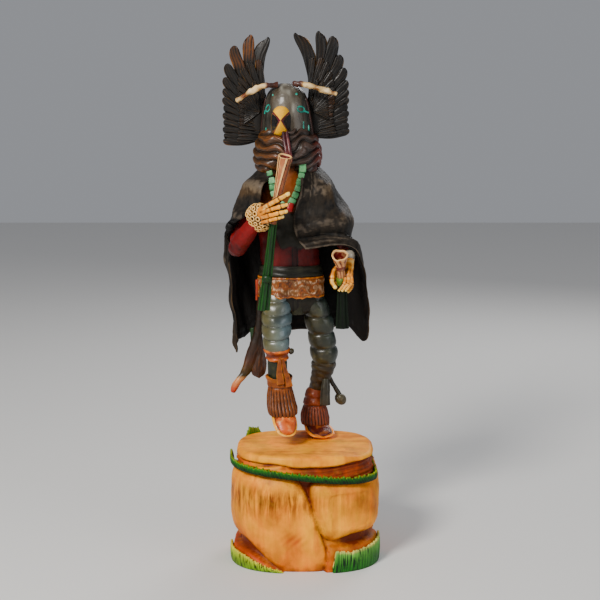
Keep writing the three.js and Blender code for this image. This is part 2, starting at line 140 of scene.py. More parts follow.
# %% [markdown]
# ## Curves through a few stations
#
# A carver marks a few stations on the block, such as hip, knee and ankle, and blends the wood
# between them. A Catmull-Rom spline does the same with numbers: it passes through every station and
# leaves each one in the direction of its neighbours. The rows may hold anything, so one function
# carries positions and widths together.

# %% Splines
def spline(rows, t):
    """Each row is a station; t runs from 0 at the first to 1 at the last.

    Between two stations a and b the value is a cubic with slopes (b - before) / 2 and
    (after - a) / 2 at its ends.
    """
    rows = np.asarray(rows, float)
    place = np.clip(t, 0, 1) * (len(rows) - 1)
    i = np.minimum(place.astype(int), len(rows) - 2)
    f = (place - i)[..., None]
    a, b = rows[i], rows[i + 1]
    slope_a = (b - rows[np.maximum(i - 1, 0)]) / 2
    slope_b = (rows[np.minimum(i + 2, len(rows) - 1)] - a) / 2
    return ((2 * f**3 - 3 * f**2 + 1) * a + (f**3 - 2 * f**2 + f) * slope_a
            + (3 * f**2 - 2 * f**3) * b + (f**3 - f**2) * slope_b)


def ease(low, high, value):
    """0 below low, 1 above high, and a smooth S between: 3t^2 - 2t^3."""
    t = np.clip((value - low) / (high - low), 0, 1)
    return t * t * (3 - 2 * t)


def ridges(phase, sharpness=1.0):
    """A row of round ridges with sharp valleys: |sin| raised to a power, 0 in the valley."""
    return np.abs(np.sin(phase * np.pi)) ** sharpness


# %% [markdown]
# ## Knife marks
#
# Carved wood is never quite smooth. Random numbers on a coarse cubic lattice, blended smoothly
# between its corners, give soft lumps of any wanted size. The random numbers come from one fixed
# seed, so the doll is the same every time it is made.

# %% Smooth noise
LATTICE_SIDE = 32
LATTICE = np.random.default_rng(11).random((LATTICE_SIDE,) * 3)


def noise(points, size):
    """Values from -1 to 1 that vary smoothly over about `size` millimetres.

    The eight lattice values round a point are mixed with the weights 3f^2 - 2f^3 on each axis.
    """
    q = points[..., :3] / size
    i = np.floor(q).astype(int)
    f = q - i
    f = f * f * (3 - 2 * f)
    total = 0.0
    for corner in np.ndindex(2, 2, 2):
        x, y, z = np.moveaxis((i + corner) % LATTICE_SIDE, -1, 0)
        total = total + LATTICE[x, y, z] * np.abs(1 - np.array(corner) - f).prod(-1)
    return 2 * total - 1


# %% [markdown]
# ## From a grid of points to a closed piece
#
# Every surface is a grid: rows run along it and columns run round it. Each grid point carries five
# numbers: its place, its `relief` (0 at the bottom of a cut, 1 on a worn ridge) and a `tint` that
# each material uses in its own way. Joining neighbours gives quads, and a fan of triangles closes
# each end. Repeated things, such as beads, are the same grid with one more axis in front.

# %% Mesh builder
def tag(points, relief=0.5, tint=0.0):
    """Adds the relief and tint numbers to every point of a grid."""
    shape = points.shape[:-1]
    extra = [np.broadcast_to(np.asarray(v, float), shape)[..., None] for v in (relief, tint)]
    return np.concatenate([points, *extra], axis=-1)


def closed(grids, ring=False):
    """Vertices, quads and end triangles of closed tubes.

    grids is (rows, columns, 5) or (copies, rows, columns, 5). Quad (i, j) joins rows i and i + 1
    and columns j and j + 1; the last column joins the first. A fan round the mean of the first and
    of the last row closes the ends; in a ring the last row joins the first instead. If the signed
    volume is negative, every face is turned over.
    """
    grids = grids.reshape((-1,) + grids.shape[-3:])
    copies, rows, cols = grids.shape[:3]
    i, j = np.meshgrid(np.arange(rows if ring else rows - 1), np.arange(cols), indexing="ij")
    below, k = (i + 1) % rows, (j + 1) % cols
    quads = np.stack([i * cols + j, i * cols + k, below * cols + k, below * cols + j], -1)
    quads = quads.reshape(-1, 4)
    verts = grids.reshape(copies, rows * cols, -1)
    tris = np.zeros((0, 3), int)
    if not ring:
        hubs = np.stack([grids[:, 0].mean(1), grids[:, -1].mean(1)], 1)
        verts = np.concatenate([verts, hubs], 1)
        j = np.arange(cols)
        k = (j + 1) % cols
        start, end, last = rows * cols, rows * cols + 1, (rows - 1) * cols
        tris = np.concatenate([np.stack([j * 0 + start, k, j], -1),
                               np.stack([j * 0 + end, last + j, last + k], -1)])
    return outward(verts, quads, tris)


def carved(points, relief, tint=0.0):
    """A closed tube of a plain grid, with its relief kept between 0 and 1."""
    return closed(tag(points, np.clip(relief, 0, 1), tint))


def slab(front, back):
    """A closed sheet between two grids of the same shape, with a strip of quads round its edge."""
    rows, cols = front.shape[:2]
    number = np.arange(rows * cols).reshape(rows, cols)
    face = np.stack([number[:-1, :-1], number[:-1, 1:], number[1:, 1:], number[1:, :-1]], -1)
    face = face.reshape(-1, 4)
    edge = np.concatenate([number[0, :-1], number[:-1, -1], number[-1, :0:-1], number[:0:-1, 0]])
    after = np.roll(edge, -1)
    rim = np.stack([after, edge, edge + rows * cols, after + rows * cols], -1)
    quads = np.concatenate([face, face[:, ::-1] + rows * cols, rim])
    verts = np.concatenate([front.reshape(-1, 5), back.reshape(-1, 5)])
    return outward(verts[None], quads, np.zeros((0, 3), int))


def outward(verts, quads, tris):
    """Repeats the faces for every copy, turned over if the first copy's signed volume is negative."""
    sample = verts[0, :, :3] - verts[0, :, :3].mean(0)
    corners = np.concatenate([quads[:, [0, 1, 2]], quads[:, [0, 2, 3]], tris])
    a, b, c = (sample[corners[:, n]] for n in range(3))
    if np.einsum("ij,ij->i", a, np.cross(b, c)).sum() < 0:
        quads, tris = quads[:, ::-1], tris[:, ::-1]
    offset = (np.arange(len(verts)) * verts.shape[1])[:, None, None]
    return (verts.reshape(-1, verts.shape[-1]), (quads[None] + offset).reshape(-1, 4),
            (tris[None] + offset).reshape(-1, 3))


def piece(name, surfaces, paint, slot, *nodes):
    """Builds one object from closed surfaces, paints it and puts it in the frame.

    The object stays at the origin, with its place in its mesh, and rides on the root body.
    """
    verts, quads, tris, count = [], [], [], 0
    for v, q, t in surfaces:
        verts.append(v)
        quads.append(q + count)
        tris.append(t + count)
        count += len(v)
    verts, quads, tris = (np.concatenate(part) for part in (verts, quads, tris))
    mesh = bpy.data.meshes.new(name)
    mesh.vertices.add(len(verts))
    mesh.vertices.foreach_set("co", (verts[:, :3] * MM).ravel())
    loops = np.concatenate([quads.ravel(), tris.ravel()])
    mesh.loops.add(len(loops))
    mesh.loops.foreach_set("vertex_index", loops)
    starts = np.concatenate([np.arange(len(quads)) * 4, quads.size + np.arange(len(tris)) * 3])
    mesh.polygons.add(len(starts))
    mesh.polygons.foreach_set("loop_start", starts)
    mesh.update(calc_edges=True)
    mesh.polygons.foreach_set("use_smooth", np.ones(len(starts), bool))
    for channel, label in ((3, "relief"), (4, "tint")):
        layer = mesh.attributes.new(label, "FLOAT", "POINT")
        layer.data.foreach_set("value", verts[:, channel])
    mesh.materials.append(paint)
    obj = bpy.data.objects.new(name, mesh)
    bpy.context.scene.collection.objects.link(obj)
    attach(obj, "root")
    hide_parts(*nodes)
    print(f"{name}: {2 * len(quads) + len(tris)} triangles")


# %% [markdown]
# ## Two ways to sweep a form
#
# Arms, legs and feathers follow a route, so `limb` carries an oval along it and keeps the oval
# square to the route. The trunk, the mask and the fringes stand upright, so `stack` piles level
# ovals. Both hand back the grid together with t, which runs along the form, and the angle round it,
# so that creases and flutes can be added by formula before the grid becomes a mesh.

# %% Sweeps
FINENESS = 0.565


def steps(count):
    """The rows or columns of a grid, scaled by FINENESS so that the whole doll stays light."""
    return max(6, round(FINENESS * count))


def limb(stations, rows, cols, front=(0.0, -1.0, 0.0), start=0.0, end=0.0):
    """Oval sections along stations (x, y, z, half width, half depth).

    A point is route + across * width * cos(angle) + fore * depth * sin(angle), where `across` is
    square to the route and to `front`. start and end give the part of the length over which each
    end is rounded, by the factor sqrt(1 - (1 - t / length)^2).
    """
    u = np.linspace(0, 1, steps(rows))
    t = (1 - np.cos(np.pi * u)) / 2 if start or end else u
    s = spline(stations, t)
    if start:
        s[:, 3:5] *= np.sqrt(1 - np.clip(1 - t / start, 0, 0.999) ** 2)[:, None]
    if end:
        s[:, 3:5] *= np.sqrt(1 - np.clip(1 - (1 - t) / end, 0, 0.999) ** 2)[:, None]
    run = np.gradient(s[:, :3], axis=0)
    run /= np.linalg.norm(run, axis=1, keepdims=True) + 1e-12
    across = np.cross(run, front)
    across /= np.linalg.norm(across, axis=1, keepdims=True) + 1e-12
    fore = np.cross(across, run)
    angle = np.linspace(0, 2 * np.pi, steps(cols), endpoint=False)
    T, A = np.meshgrid(t, angle, indexing="ij")
    points = (s[:, None, :3] + across[:, None] * (s[:, None, 3:4] * np.cos(A)[..., None])
              + fore[:, None] * (s[:, None, 4:5] * np.sin(A)[..., None]))
    return points, T, A


def stack(levels, rows, cols):
    """Level ovals at (z, x, y, half width, half depth); angle 0 is the front and grows to +X."""
    t = np.linspace(0, 1, steps(rows))
    s = spline(levels, t)[:, None, :]
    angle = np.linspace(0, 2 * np.pi, steps(cols), endpoint=False)
    T, A = np.meshgrid(t, angle, indexing="ij")
    points = np.stack([s[..., 1] + s[..., 3] * np.sin(A), s[..., 2] - s[..., 4] * np.cos(A),
                       s[..., 0] + 0 * A], -1)
    return points, T, A


def push(points, amount):
    """Moves a wrapped grid along its own outward normal, by `amount` millimetres a point.

    The normal is the cross product of the step along a row and the step between rows, turned to
    point away from the middle of its row.
    """
    around = np.roll(points, -1, -2) - np.roll(points, 1, -2)
    along = np.gradient(points, axis=-3)
    normal = np.cross(around, along)
    normal /= np.linalg.norm(normal, axis=-1, keepdims=True) + 1e-9
    away = points - points.mean(-2, keepdims=True)
    facing = np.sign((normal * away).sum(-1).mean())
    return points + normal * (np.asarray(amount) * facing)[..., None]


# %% [markdown]
# ## Paint on carved wood
#
# All finishes on the doll share one habit: a base coat, a dark stain wiped into the cuts, and a dry
# brush of lighter paint on the ridges. That habit is one node group, `worn_paint`, which reads the
# relief number of the mesh, roughens its edges with noise and mixes the three coats. A second group,
# `long_streaks`, stretches noise along one axis for wood grain and brush marks. Both are built once
# and placed in each material with its own colours.

# %% Node helpers
def node(tree, kind, inputs=None, **settings):
    """Adds a node; each input is a plain value or the socket that feeds it."""
    made = tree.nodes.new(kind)
    for key, value in settings.items():
        setattr(made, key, value)
    for key, value in (inputs or {}).items():
        if isinstance(value, bpy.types.NodeSocket):
            tree.links.new(value, made.inputs[key])
        else:
            made.inputs[key].default_value = value
    return made


RICHNESS = 1.45  # a soft studio and a film-like view both pull colours towards grey


def rgb(red, green, blue):
    """Screen colour, 0 to 255, as the linear colour that shaders mix: ((c + 0.055) / 1.055)^2.4.

    It is then drawn away from its own grey by RICHNESS, to make up for what the view takes out.
    """
    c = np.array([red, green, blue]) / 255
    linear = np.where(c <= 0.04045, c / 12.92, ((c + 0.055) / 1.055) ** 2.4)
    grey = linear @ [0.3, 0.55, 0.15]
    return (*np.clip(grey + RICHNESS * (linear - grey), 0.0008, 0.95).tolist(), 1.0)


def blend_colours(tree, factor, first, second):
    """A colour mix; factor, first and second are values or sockets."""
    mix = node(tree, "ShaderNodeMix", {0: factor, 6: first, 7: second}, data_type="RGBA",
               clamp_factor=True)
    return mix.outputs[2]


def stretch(tree, value, from_low, from_high, to_low=0.0, to_high=1.0):
    """Maps a range of values on another one, clamped at both ends."""
    return node(tree, "ShaderNodeMapRange", {
        "Value": value, "From Min": from_low, "From Max": from_high,
        "To Min": to_low, "To Max": to_high}, clamp=True).outputs["Result"]


def add(tree, first, second, operation="ADD"):
    """One step of arithmetic on two values."""
    return node(tree, "ShaderNodeMath", {0: first, 1: second}, operation=operation).outputs[0]


def times(tree, first, second):
    """The product of two values."""
    return add(tree, first, second, "MULTIPLY")


def noise_texture(tree, place, scale, detail, **settings):
    """Grey noise read at a place; settings are further inputs of the node, by their names."""
    return node(tree, "ShaderNodeTexNoise", {"Vector": place, "Scale": scale, "Detail": detail,
                                             **settings}).outputs["Fac"]


def open_group(name, inputs, outputs):
    """An empty node group with named sockets; returns the group, its input node and output node."""
    group = bpy.data.node_groups.new(name, "ShaderNodeTree")
    for label, kind, value in inputs:
        socket = group.interface.new_socket(label, in_out="INPUT", socket_type=kind)
        socket.default_value = value
    for label, kind in outputs:
        group.interface.new_socket(label, in_out="OUTPUT", socket_type=kind)
    return group, group.nodes.new("NodeGroupInput"), group.nodes.new("NodeGroupOutput")


FLOAT, COLOUR, VECTOR = "NodeSocketFloat", "NodeSocketColor", "NodeSocketVector"

# %% Group: worn paint
worn_paint, given, result = open_group(
    "worn_paint",
    [("Paint", COLOUR, (0.5, 0.5, 0.5, 1)), ("Hollow", COLOUR, (0, 0, 0, 1)),
     ("Ridge", COLOUR, (1, 1, 1, 1)), ("Relief", FLOAT, 0.5), ("Wear", FLOAT, 0.5),
     ("Scale", FLOAT, 250.0)],
    [("Color", COLOUR), ("Roughness", FLOAT), ("Height", FLOAT)])
place = node(worn_paint, "ShaderNodeTexCoord").outputs["Object"]
fine = noise_texture(worn_paint, place, given.outputs["Scale"], 6.0, Roughness=0.65)
broad = noise_texture(worn_paint, place, 70.0, 3.0)
uneven = stretch(worn_paint, broad, 0.3, 0.7, 0.72, 1.22)
coat = node(worn_paint, "ShaderNodeVectorMath",
            {0: given.outputs["Paint"], 1: uneven}, operation="MULTIPLY").outputs["Vector"]
jitter = stretch(worn_paint, fine, 0.25, 0.75, -0.14, 0.14)
level = add(worn_paint, given.outputs["Relief"], jitter)
in_cut = stretch(worn_paint, level, 0.42, 0.08)
on_ridge = times(worn_paint, stretch(worn_paint, level, 0.6, 0.95), given.outputs["Wear"])
colour = blend_colours(worn_paint, in_cut, coat, given.outputs["Hollow"])
colour = blend_colours(worn_paint, on_ridge, colour, given.outputs["Ridge"])
worn_paint.links.new(colour, result.inputs["Color"])
worn_paint.links.new(stretch(worn_paint, fine, 0.2, 0.8, 0.42, 0.66), result.inputs["Roughness"])
worn_paint.links.new(fine, result.inputs["Height"])

# %% Group: long streaks
long_streaks, given, result = open_group(
    "long_streaks",
    [("Stretch", VECTOR, (1.0, 1.0, 0.1)), ("Scale", FLOAT, 300.0), ("Low", FLOAT, 0.4),
     ("High", FLOAT, 0.7)],
    [("Mask", FLOAT), ("Height", FLOAT)])
place = node(long_streaks, "ShaderNodeTexCoord").outputs["Object"]
along = node(long_streaks, "ShaderNodeVectorMath",
             {0: place, 1: given.outputs["Stretch"]}, operation="MULTIPLY").outputs["Vector"]
grain = noise_texture(long_streaks, along, given.outputs["Scale"], 7.0, Roughness=0.6,
                      Distortion=0.4)
mask = stretch(long_streaks, grain, given.outputs["Low"], given.outputs["High"])
long_streaks.links.new(mask, result.inputs["Mask"])
long_streaks.links.new(grain, result.inputs["Height"])

# %% [markdown]
# ## One recipe, many paints
#
# `painted_wood` makes a material from that habit. The base colour is read from a short colour ramp
# along the mesh's tint number, so one garment can change from one paint to the next where the
# carver changed brushes. The gloss sits on the shader itself, as a thin coat.

# %% Painted wood recipe
def attribute(tree, name):
    """The named number of the mesh, as a socket."""
    return node(tree, "ShaderNodeAttribute", attribute_name=name).outputs["Fac"]


def colour_ramp(tree, value, stops):
    """Colours along a number: stops are (position, red, green, blue)."""
    ramp = node(tree, "ShaderNodeValToRGB", {"Fac": value})
    marks = ramp.color_ramp.elements
    while len(marks) < len(stops):
        marks.new(0.5)
    for mark, (position, *colour) in zip(marks, stops):
        mark.position = position
        mark.color = rgb(*colour)
    return ramp.outputs["Color"]


def streak_layer(tree, base, colour, amount, stretched, scale, low=0.4, high=0.7):
    """Brushes a colour over the base along stretched streaks; amount is a value or a socket.

    Returns the new colour and the height of the streaks.
    """
    grain = node(tree, "ShaderNodeGroup", {"Stretch": stretched, "Scale": scale, "Low": low,
                                           "High": high}, node_tree=long_streaks)
    share = times(tree, grain.outputs["Mask"], amount)
    return blend_colours(tree, share, base, colour), grain.outputs["Height"]


BUMP_DEPTH = 0.6 * MM


def wood_material(name):
    """An empty material: itself, its node tree and its shader."""
    material = bpy.data.materials.new(name)
    material.use_nodes = True
    return material, material.node_tree, material.node_tree.nodes["Principled BSDF"]


def finish_wood(tree, shader, colour, rough, height, bump, specular, shine, coat_roughness):
    """Links colour, roughness and bump to the shader and sets its gloss."""
    tree.links.new(colour, shader.inputs["Base Color"])
    tree.links.new(rough, shader.inputs["Roughness"])
    relief_bump = node(tree, "ShaderNodeBump",
                       {"Strength": bump, "Distance": BUMP_DEPTH, "Height": height})
    tree.links.new(relief_bump.outputs["Normal"], shader.inputs["Normal"])
    shader.inputs["Specular IOR Level"].default_value = specular
    shader.inputs["Coat Weight"].default_value = shine
    shader.inputs["Coat Roughness"].default_value = coat_roughness


def painted_wood(name, paint, hollow, ridge, wear=0.5, shine=0.2, fine=250.0, bump=0.12,
                 streaks=None, streak_scale=300.0, streak_amount=0.35, roughness=0.0):
    """Base coat, stain in the cuts, dry brush on the ridges and a thin coat of gloss.

    paint, hollow and ridge are each one screen colour (red, green, blue), or a list of (tint, red,
    green, blue) to go from one to the next. streaks is the stretch of the brush marks on each axis;
    roughness is added everywhere.
    """
    material, tree, shader = wood_material(name)
    tint = attribute(tree, "tint")
    paint, hollow, ridge = (colour_ramp(tree, tint, each) if isinstance(each, list) else rgb(*each)
                            for each in (paint, hollow, ridge))
    coat = node(tree, "ShaderNodeGroup", {
        "Paint": paint, "Hollow": hollow, "Ridge": ridge, "Relief": attribute(tree, "relief"),
        "Wear": wear, "Scale": fine}, node_tree=worn_paint)
    colour, height = coat.outputs["Color"], coat.outputs["Height"]
    if streaks:
        colour, streak_height = streak_layer(tree, colour, ridge, streak_amount, streaks,
                                             streak_scale)
        height = add(tree, height, streak_height)
    rough = add(tree, coat.outputs["Roughness"], roughness)
    finish_wood(tree, shader, colour, rough, height, bump, 0.2, shine, 0.28)
    return material



# %% [markdown]
# ## The rock: one radius for every direction
#
# The base is a block with rounded corners, cut into a slab, a hollow under it, and boulders below.
# Seen from its upright axis every direction meets the surface once, so the whole rock is one
# function: angle and height in, radius out. The plan is a superellipse. Each boulder is a pillow,
# flat in the middle and falling away at its edges, and the surface is the highest pillow, which
# leaves the sharp valley that a knife leaves between two stones.

# %% Rock outline
rock_low, rock_high = (np.array(corner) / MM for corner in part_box("rock_base"))
ROCK_TOP = rock_high[2]
ROCK_X, ROCK_Y = (rock_low[:2] + rock_high[:2]) / 2
HALF_WIDTH, HALF_DEPTH = (rock_high[:2] - rock_low[:2]) / 2 - 0.4
print("rock:", np.round(rock_high - rock_low, 1), "mm")


ROUNDNESS = 2.6  # 2 is an ellipse, and a large number a rectangle


def plan_radius(angle):
    """Superellipse: (|sin / width|^n + |cos / depth|^n)^(-1/n), with angle 0 at the front."""
    s, c = np.abs(np.sin(angle)), np.abs(np.cos(angle))
    return ((s / HALF_WIDTH) ** ROUNDNESS + (c / HALF_DEPTH) ** ROUNDNESS) ** (-1 / ROUNDNESS)


def wrapped(angle):
    """The same angle, between -pi and pi."""
    return (angle + np.pi) % (2 * np.pi) - np.pi


def turf_line(angle):
    """Height of the grass that runs round the rock: it falls from left to right in front, climbs
    steeply beside the slab at the right, and drops out of sight behind."""
    s, c = np.sin(angle), np.cos(angle)
    climb = np.exp(-((angle - 1.95) / 0.4) ** 2)
    return 73.9 - 5.4 * s - 9 * ease(0.1, -0.7, c) + 18 * climb


def tufts(angle):
    """Extra height of the blades at the back left corner, where they stand above the slab."""
    return 21 * np.exp(-((angle + 2.24) / 0.2) ** 4) + 2.2 * np.exp(-((angle + 1.6) / 0.08) ** 2)


def slab_edge(angle):
    """Height of the slab's lower edge: a thick lip at the left that thins towards the right."""
    x = 50 * np.sin(angle)
    edge = 80.2 - 1.4 * np.sin(0.075 * x + 1.3) + 0.5 * np.sin(0.21 * x)
    return np.clip(np.maximum(edge, turf_line(angle) + 0.9), None, 84.8)


def pillow(x, z, left, right, low, high, steep=3.2, round_off=0.5, flat=7.5):
    """Height 0 to 1 over a rectangle: (1 - |2u - 1|^m - |2v - 1|^n)^0.5."""
    across = np.abs((2 * x - left - right) / (right - left)) ** flat
    upright = np.abs((2 * z - low - high) / (high - low)) ** steep
    return np.clip(1 - across - upright, 0, 1) ** round_off


def seam_x(z):
    """The valley between the two front boulders leans to the right as it goes down."""
    return 1.5 + (67 - z) * 0.2 + 0.0022 * np.clip(67 - z, 0, None) ** 2


def foot_height(x, c):
    """Top of the low ledge round the foot: left of the big boulder, right of it, and behind."""
    front = 14.5 * ease(-13, -54, x) + 20 * ease(16, 20, x)
    return np.where(c > 0, front, 14.0)


VALLEY_DEPTH = 8.0


def rock_surface(angle, z):
    """Radius, relief and tint of the rock. Relief is 0 in the valleys, and it drops on the slab's
    underside and up into the hollow under it, as painted shade. The tint is 0 on the boulders, 0.5 in
    the hollow under the slab, whose dark brown is painted shade and grows lighter towards the left as
    painted light, and 1 on the slab."""
    s, c = np.sin(angle), np.cos(angle)
    plan = plan_radius(angle)
    x = plan * s
    grass, lip = turf_line(angle), slab_edge(angle)
    seam = seam_x(z)
    left_low = 25 * ease(-12, -56, x) - 3
    left = pillow(x, z, -82, seam + 0.8, left_low, grass - 3.4)
    right = pillow(x, z, seam - 0.8, 80, 26.5 - 4 * ease(40, 18, x), grass - 2.6, 4.2)
    rear = pillow(np.abs(s * 60 + 14 * np.sin(z / 21)), z, 1.5, 96, 12, grass - 3)
    front_side = ease(-0.25, 0.05, c)
    boulder = np.maximum(left, right) * front_side + rear * (1 - front_side)
    foot = pillow(0, z, -1, 1, -14, foot_height(x, c), 9, 0.5) * 0.82
    stone = np.maximum(boulder, foot)
    panel = pillow(x, z, 18 + 0.1 * (60 - z), 50, 33, 60, 8, 0.35, 8) * (c > 0)
    radius = plan - VALLEY_DEPTH + VALLEY_DEPTH * stone - 0.8 * ease(0.2, 0.8, panel)
    climb = np.clip((z - grass) / (lip - grass), 0, 1)
    strata = np.sin(1.9 * (z - 0.05 * x) + 1.4 * np.sin(0.11 * x))
    cove = plan - 3.8 - 4.6 * climb**0.8 + 0.5 * strata
    radius = np.where(z > grass, cove, radius)
    rim = np.clip((ROCK_TOP - z) / 3.6, 0, 1)
    under = np.clip((z - lip) / 2.2, 0, 1)
    slab = (plan - 4.8 - 5.4 * (1 - np.sqrt(1 - (1 - under) ** 2)) * (under < 1)
            - 2.6 * (1 - np.sqrt(1 - (1 - rim) ** 2)))
    radius = np.where(z > lip, slab, radius)
    # Painted shade: the relief falls on the slab's underside and up into the hollow, so the dark stain
    # gathers where the slab overhangs.
    relief = np.where(z > lip, 0.3 + 0.35 * under, 0.1 + 0.5 * stone**1.5)
    relief = np.where((z > grass) & (z <= lip), 0.42 - 0.36 * climb**2 + 0.12 * strata, relief)
    relief = relief - 0.12 * ease(0.05, 0.5, panel) * ease(0.95, 0.6, panel)
    # Painted light and shade: the hollow is dark brown, lighter towards the left, where the light
    # falls.
    tint = np.where(z > lip, 1.0, np.where(z > grass, 0.5 + 0.28 * ease(8, -28, x), 0.0))
    tint = np.where((foot > boulder) & (z < 26), 0.3, tint)
    knot = np.exp(-(((x + 8) / 8.5) ** 2) - ((z - 25) / 5.0) ** 2) * (c > 0)
    tint = np.where(z < grass, np.maximum(tint, 0.2 * knot * (1 + 0.4 * np.sin(0.9 * x - z))), tint)
    return radius - 0.6 * knot, relief - 0.12 * knot, tint


# %% Rock mesh
ANGLE_STEPS, SIDE_STEPS, TOP_STEPS = 300, 104, 14
side_z = np.linspace(0, ROCK_TOP, SIDE_STEPS)
angles = np.linspace(-np.pi, np.pi, ANGLE_STEPS, endpoint=False)
Z, A = np.meshgrid(side_z, angles, indexing="ij")
R, relief, tint = rock_surface(A, Z)
shrink = np.linspace(0.985, 0.03, TOP_STEPS)[:, None]
top_R = R[-1] * shrink
R = np.concatenate([R, top_R])
Z = np.concatenate([Z, np.full((TOP_STEPS, ANGLE_STEPS), ROCK_TOP)])
A = np.concatenate([A, np.broadcast_to(angles, (TOP_STEPS, ANGLE_STEPS))])
relief = np.concatenate([relief, 0.62 + 0 * top_R])
tint = np.concatenate([tint, 1 + 0 * top_R])
rock_points = np.stack([ROCK_X + R * np.sin(A), ROCK_Y - R * np.cos(A), Z], -1)
cuts = (0.35 * noise(rock_points, 9) + 0.26 * noise(rock_points * [1, 1, 0.5], 3.2)
        + 0.7 * noise(rock_points, 19))
inward = np.concatenate([np.zeros(SIDE_STEPS), 1 - shrink[:, 0]])[:, None]
out = np.stack([np.sin(A), -np.cos(A), 0 * A], -1)
rock_points = rock_points + out * (cuts * ease(0, 3, Z) * (inward == 0) * 1.2)[..., None]
rock_points[..., 2] -= 0.35 * np.clip(-cuts, 0, 1) * ease(0, 0.3, inward)
worn_corner = ease(22, 56, rock_points[..., 0]) * ease(14, -30, rock_points[..., 1])
rock_points[..., 2] -= 3.2 * worn_corner * ease(82, 88, rock_points[..., 2])
relief = np.clip(relief + 0.18 * cuts, 0, 1)


def rock_stain():
    """Orange stain over pale wood: pale and brown clouds, long grain, brush marks, painted shade
    darkening towards the foot, dry brown streaks high on the left boulder and saw marks on top."""
    material, tree, shader = wood_material("rock_stain")
    # Tint 0.5 to 0.8 is the hollow under the slab: its dark brown is painted shade, lighter on the left
    # as painted light.
    base = colour_ramp(tree, attribute(tree, "tint"), [
        (0.0, 252, 166, 6), (0.3, 140, 72, 8), (0.5, 104, 52, 5),
        (0.8, 206, 120, 12), (1.0, 244, 164, 40)])
    place = node(tree, "ShaderNodeTexCoord").outputs["Object"]
    axes = node(tree, "ShaderNodeSeparateXYZ", {"Vector": place}).outputs
    below = stretch(tree, axes["Z"], 36 * MM, 52 * MM)
    above = stretch(tree, axes["Z"], 58 * MM, 66 * MM, 1.0, 0.0)
    leftward = stretch(tree, axes["X"], -12 * MM, 6 * MM, 1.0, 0.35)
    shoulder = times(tree, times(tree, below, above), leftward)
    clouds = noise_texture(tree, place, 24.0, 5.0, Distortion=0.6)
    pale = stretch(tree, clouds, 0.5, 0.7, 0.0, 0.7)
    base = blend_colours(tree, pale, base, rgb(255, 190, 24))
    smudge = stretch(tree, clouds, 0.5, 0.32, 0.0, 0.75)
    base = blend_colours(tree, smudge, base, rgb(150, 84, 10))
    base, grain_height = streak_layer(tree, base, rgb(190, 96, 16), 0.45, (1.0, 1.0, 0.12), 210.0,
                                      0.45, 0.75)
    base, _ = streak_layer(tree, base, rgb(140, 70, 12), 0.4, (1.0, 1.0, 0.3), 60.0, 0.56, 0.7)
    # Painted shade: the rock darkens towards the floor.
    painted_low_shade = stretch(tree, axes["Z"], 34 * MM, 4 * MM, 0.0, 0.5)
    base = blend_colours(tree, painted_low_shade, base, rgb(190, 96, 6))
    base, _ = streak_layer(tree, base, rgb(88, 42, 14), times(tree, shoulder, 0.95),
                           (1.0, 1.0, 0.1), 330.0, 0.4, 0.62)
    on_top = stretch(tree, axes["Z"], 84.5 * MM, 87.5 * MM, 0.0, 0.6)
    base, _ = streak_layer(tree, base, rgb(128, 66, 12), on_top, (0.1, 1.0, 1.0), 150.0, 0.5, 0.7)
    coat = node(tree, "ShaderNodeGroup", {
        "Paint": base, "Hollow": rgb(92, 44, 4), "Ridge": rgb(255, 186, 46),
        "Relief": attribute(tree, "relief"), "Wear": 0.4, "Scale": 160.0}, node_tree=worn_paint)
    height = add(tree, coat.outputs["Height"], grain_height)
    finish_wood(tree, shader, coat.outputs["Color"], coat.outputs["Roughness"], height, 0.3, 0.15,
                0.04, 0.35)
    return material


piece("rock", [closed(tag(rock_points, relief, tint))], rock_stain(), "rock_stain", "rock_base")

# %% [markdown]
# ## Grass cut from the same block
#
# A strip of grass runs round the joint of the slab, and thicker clumps grow at the foot. On the
# carving each is a raised band with its blades cut side by side, so the band is a thin closed wall
# that follows the rock's plan. Its top edge is a saw of small teeth, and every tooth runs down as a
# ridge, by |sin| of the distance along the band.

